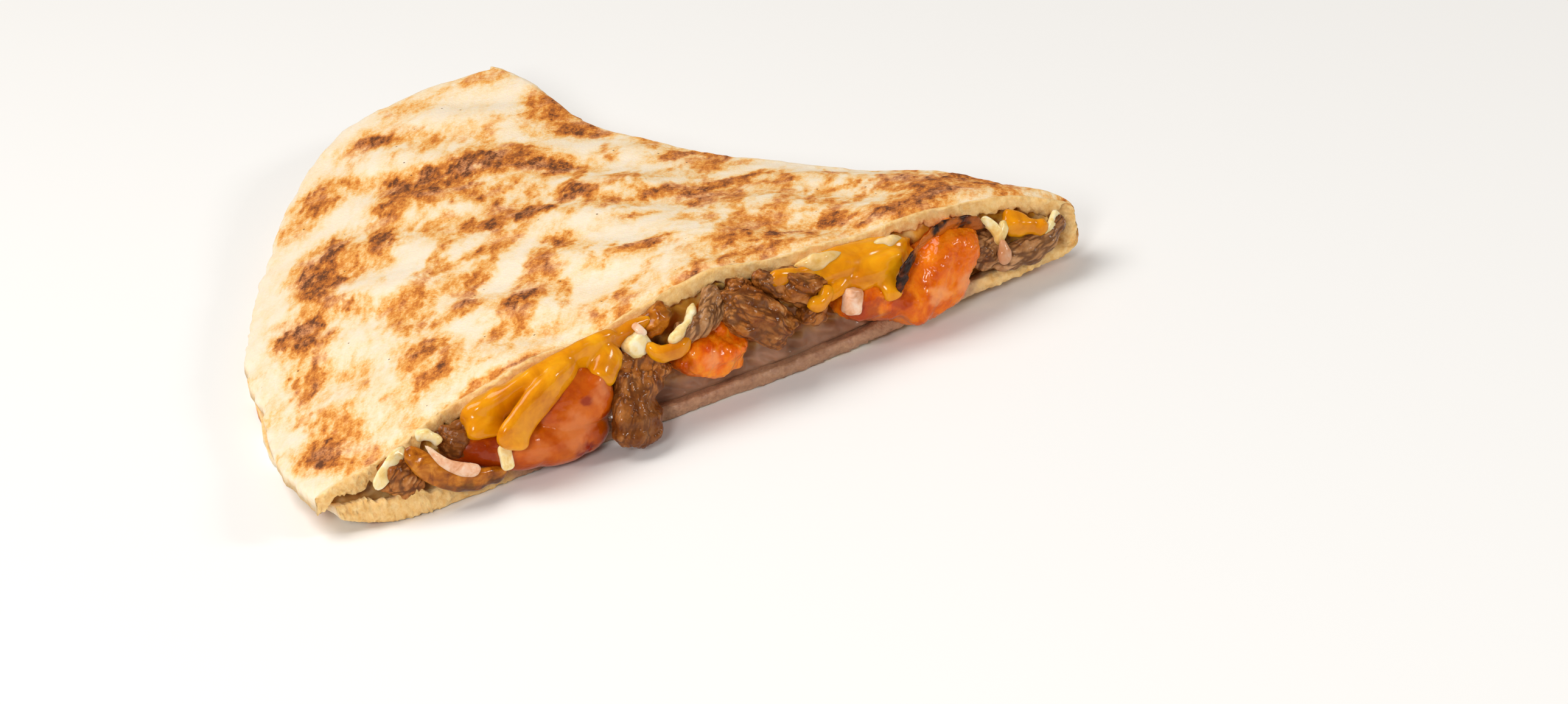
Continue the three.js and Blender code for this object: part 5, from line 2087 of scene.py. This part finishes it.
@dataclass(frozen=True)
class Studio:
    """The camera, the lights and the plain floor.

    Args:
        lens_mm, sensor_mm: the camera's focal length and sensor width
        eye: where the camera is, in metres
        azimuth, elevation, roll: how the camera is turned
        clip_end: how far the camera sees, in metres
        floor, floor_half: the floor's colour, and half its width in metres
        sky, sky_strength: the colour and strength of the light from all round
        lights: the lamps
    """

    lens_mm: float = 125.8
    sensor_mm: float = 36.0
    eye: Place = (-0.378682, -0.849486, 0.409083)
    azimuth: float = math.radians(-26.6)
    elevation: float = math.radians(24.8)
    roll: float = math.radians(-8.2)
    clip_end: float = 20.0
    floor: str = "#f6f7f9"
    floor_half: float = 3.0
    sky: str = "#fffaf4"
    sky_strength: float = 0.2
    lights: tuple[Softbox, ...] = (
        Softbox("key", (-0.45, 0.2, 0.95), (0, -0.03, 0.01), 0.7, 9.3, "#fffaf2"),
        Softbox("front", (-0.7, -0.9, 0.6), (0, -0.05, 0.01), 0.26, 6.0, "#fffdf8"),
        Softbox("side", (0.75, -0.7, 0.5), (0, -0.05, 0.01), 0.2, 3.0, "#fffdf8"),
    )

    def set_up(self) -> bpy.types.Object:
        """Makes the camera, lights and floor.

        Returns:
            The floor.
        """
        scene = bpy.context.scene
        scene.view_settings.view_transform = "Standard"
        self.add_camera(scene)
        for light in self.lights:
            lamp = bpy.data.lights.new(light.name, "AREA")
            lamp.size = light.wide
            lamp.energy = light.watts
            lamp.color = linear(light.colour)[:3]
            holder = bpy.data.objects.new(light.name, lamp)
            holder.location = light.at
            aim = Vector(light.aim) - Vector(light.at)
            holder.rotation_euler = aim.to_track_quat("-Z", "Y").to_euler()
            scene.collection.objects.link(holder)
        world = bpy.data.worlds.new("studio")
        world.use_nodes = True
        background = world.node_tree.nodes["Background"]
        background.inputs["Color"].default_value = linear(self.sky)
        background.inputs["Strength"].default_value = self.sky_strength
        scene.world = world
        return self.add_floor()

    def add_camera(self, scene: bpy.types.Scene) -> None:
        """Points a camera at the wedge.

        Args:
            scene: the scene that it belongs to
        """
        lens = bpy.data.cameras.new("camera")
        lens.lens = self.lens_mm
        lens.sensor_width = self.sensor_mm
        lens.clip_end = self.clip_end
        turn, rise = self.azimuth, self.elevation
        back = Vector((math.sin(turn) * math.cos(rise), -math.cos(turn) * math.cos(rise), math.sin(rise)))
        level = Vector((math.cos(turn), math.sin(turn), 0))
        upright = back.cross(level)
        right = level * math.cos(self.roll) + upright * math.sin(self.roll)
        up = upright * math.cos(self.roll) - level * math.sin(self.roll)
        camera = bpy.data.objects.new("camera", lens)
        camera.matrix_world = Matrix.Translation(self.eye) @ Matrix((right, up, back)).transposed().to_4x4()
        scene.collection.objects.link(camera)
        scene.camera = camera

    def add_floor(self) -> bpy.types.Object:
        """Makes the plain pale floor.

        Returns:
            The floor.
        """
        half = self.floor_half
        floor = bpy.data.meshes.new("floor")
        corners = [(-half, -half, 0), (half, -half, 0), (half, half, 0), (-half, half, 0)]
        floor.from_pydata(corners, [], [(0, 1, 2, 3)])
        piece = bpy.data.objects.new("floor", floor)
        bpy.context.scene.collection.objects.link(piece)
        material, tree = new_material("pale_floor")
        shader = add_node(tree, "BsdfPrincipled", {"Base Color": linear(self.floor), "Roughness": 0.7})
        add_node(tree, "OutputMaterial", {}, {"Surface": shader.outputs[0]})
        floor.materials.append(material)
        return piece


# ---------------------------------------------------------------------------------------------
# Assembly


def finish_piece(piece: bpy.types.Object, material: bpy.types.Material, node: str | None) -> None:
    """Puts a piece in its place on the part, attaches it to the body and hides the solid that it replaces.

    Args:
        piece: the piece, in mm from the tip corner
        material: its material
        node: the solid that it replaces, if any
    """
    place(piece)
    piece.data.materials.append(material)
    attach(piece, BODY)
    if node:
        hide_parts(node)
    LOG.info("%s: %d faces", piece.name, len(piece.data.polygons))


def main() -> None:
    """Builds the studio, the tortilla and its filling, in that order."""
    logging.basicConfig(level=logging.INFO, format="%(name)s: %(message)s")
    Studio().set_up()
    finish_piece(Tortilla().build(), GriddledTortilla().material(), "tortilla")
    finish_piece(MeltedBed().build(), MOLTEN_WHITE.material(), "melted_cheese")
    materials: dict[MoistFood, bpy.types.Material] = {}
    for filling in [*shrimps(), *beef(), *onions(), *shreds(), *molten_cheese()]:
        if filling.finish not in materials:
            materials[filling.finish] = filling.finish.material()
        finish_piece(filling.build(), materials[filling.finish], filling.node)


if __name__ == "__main__":
    main()
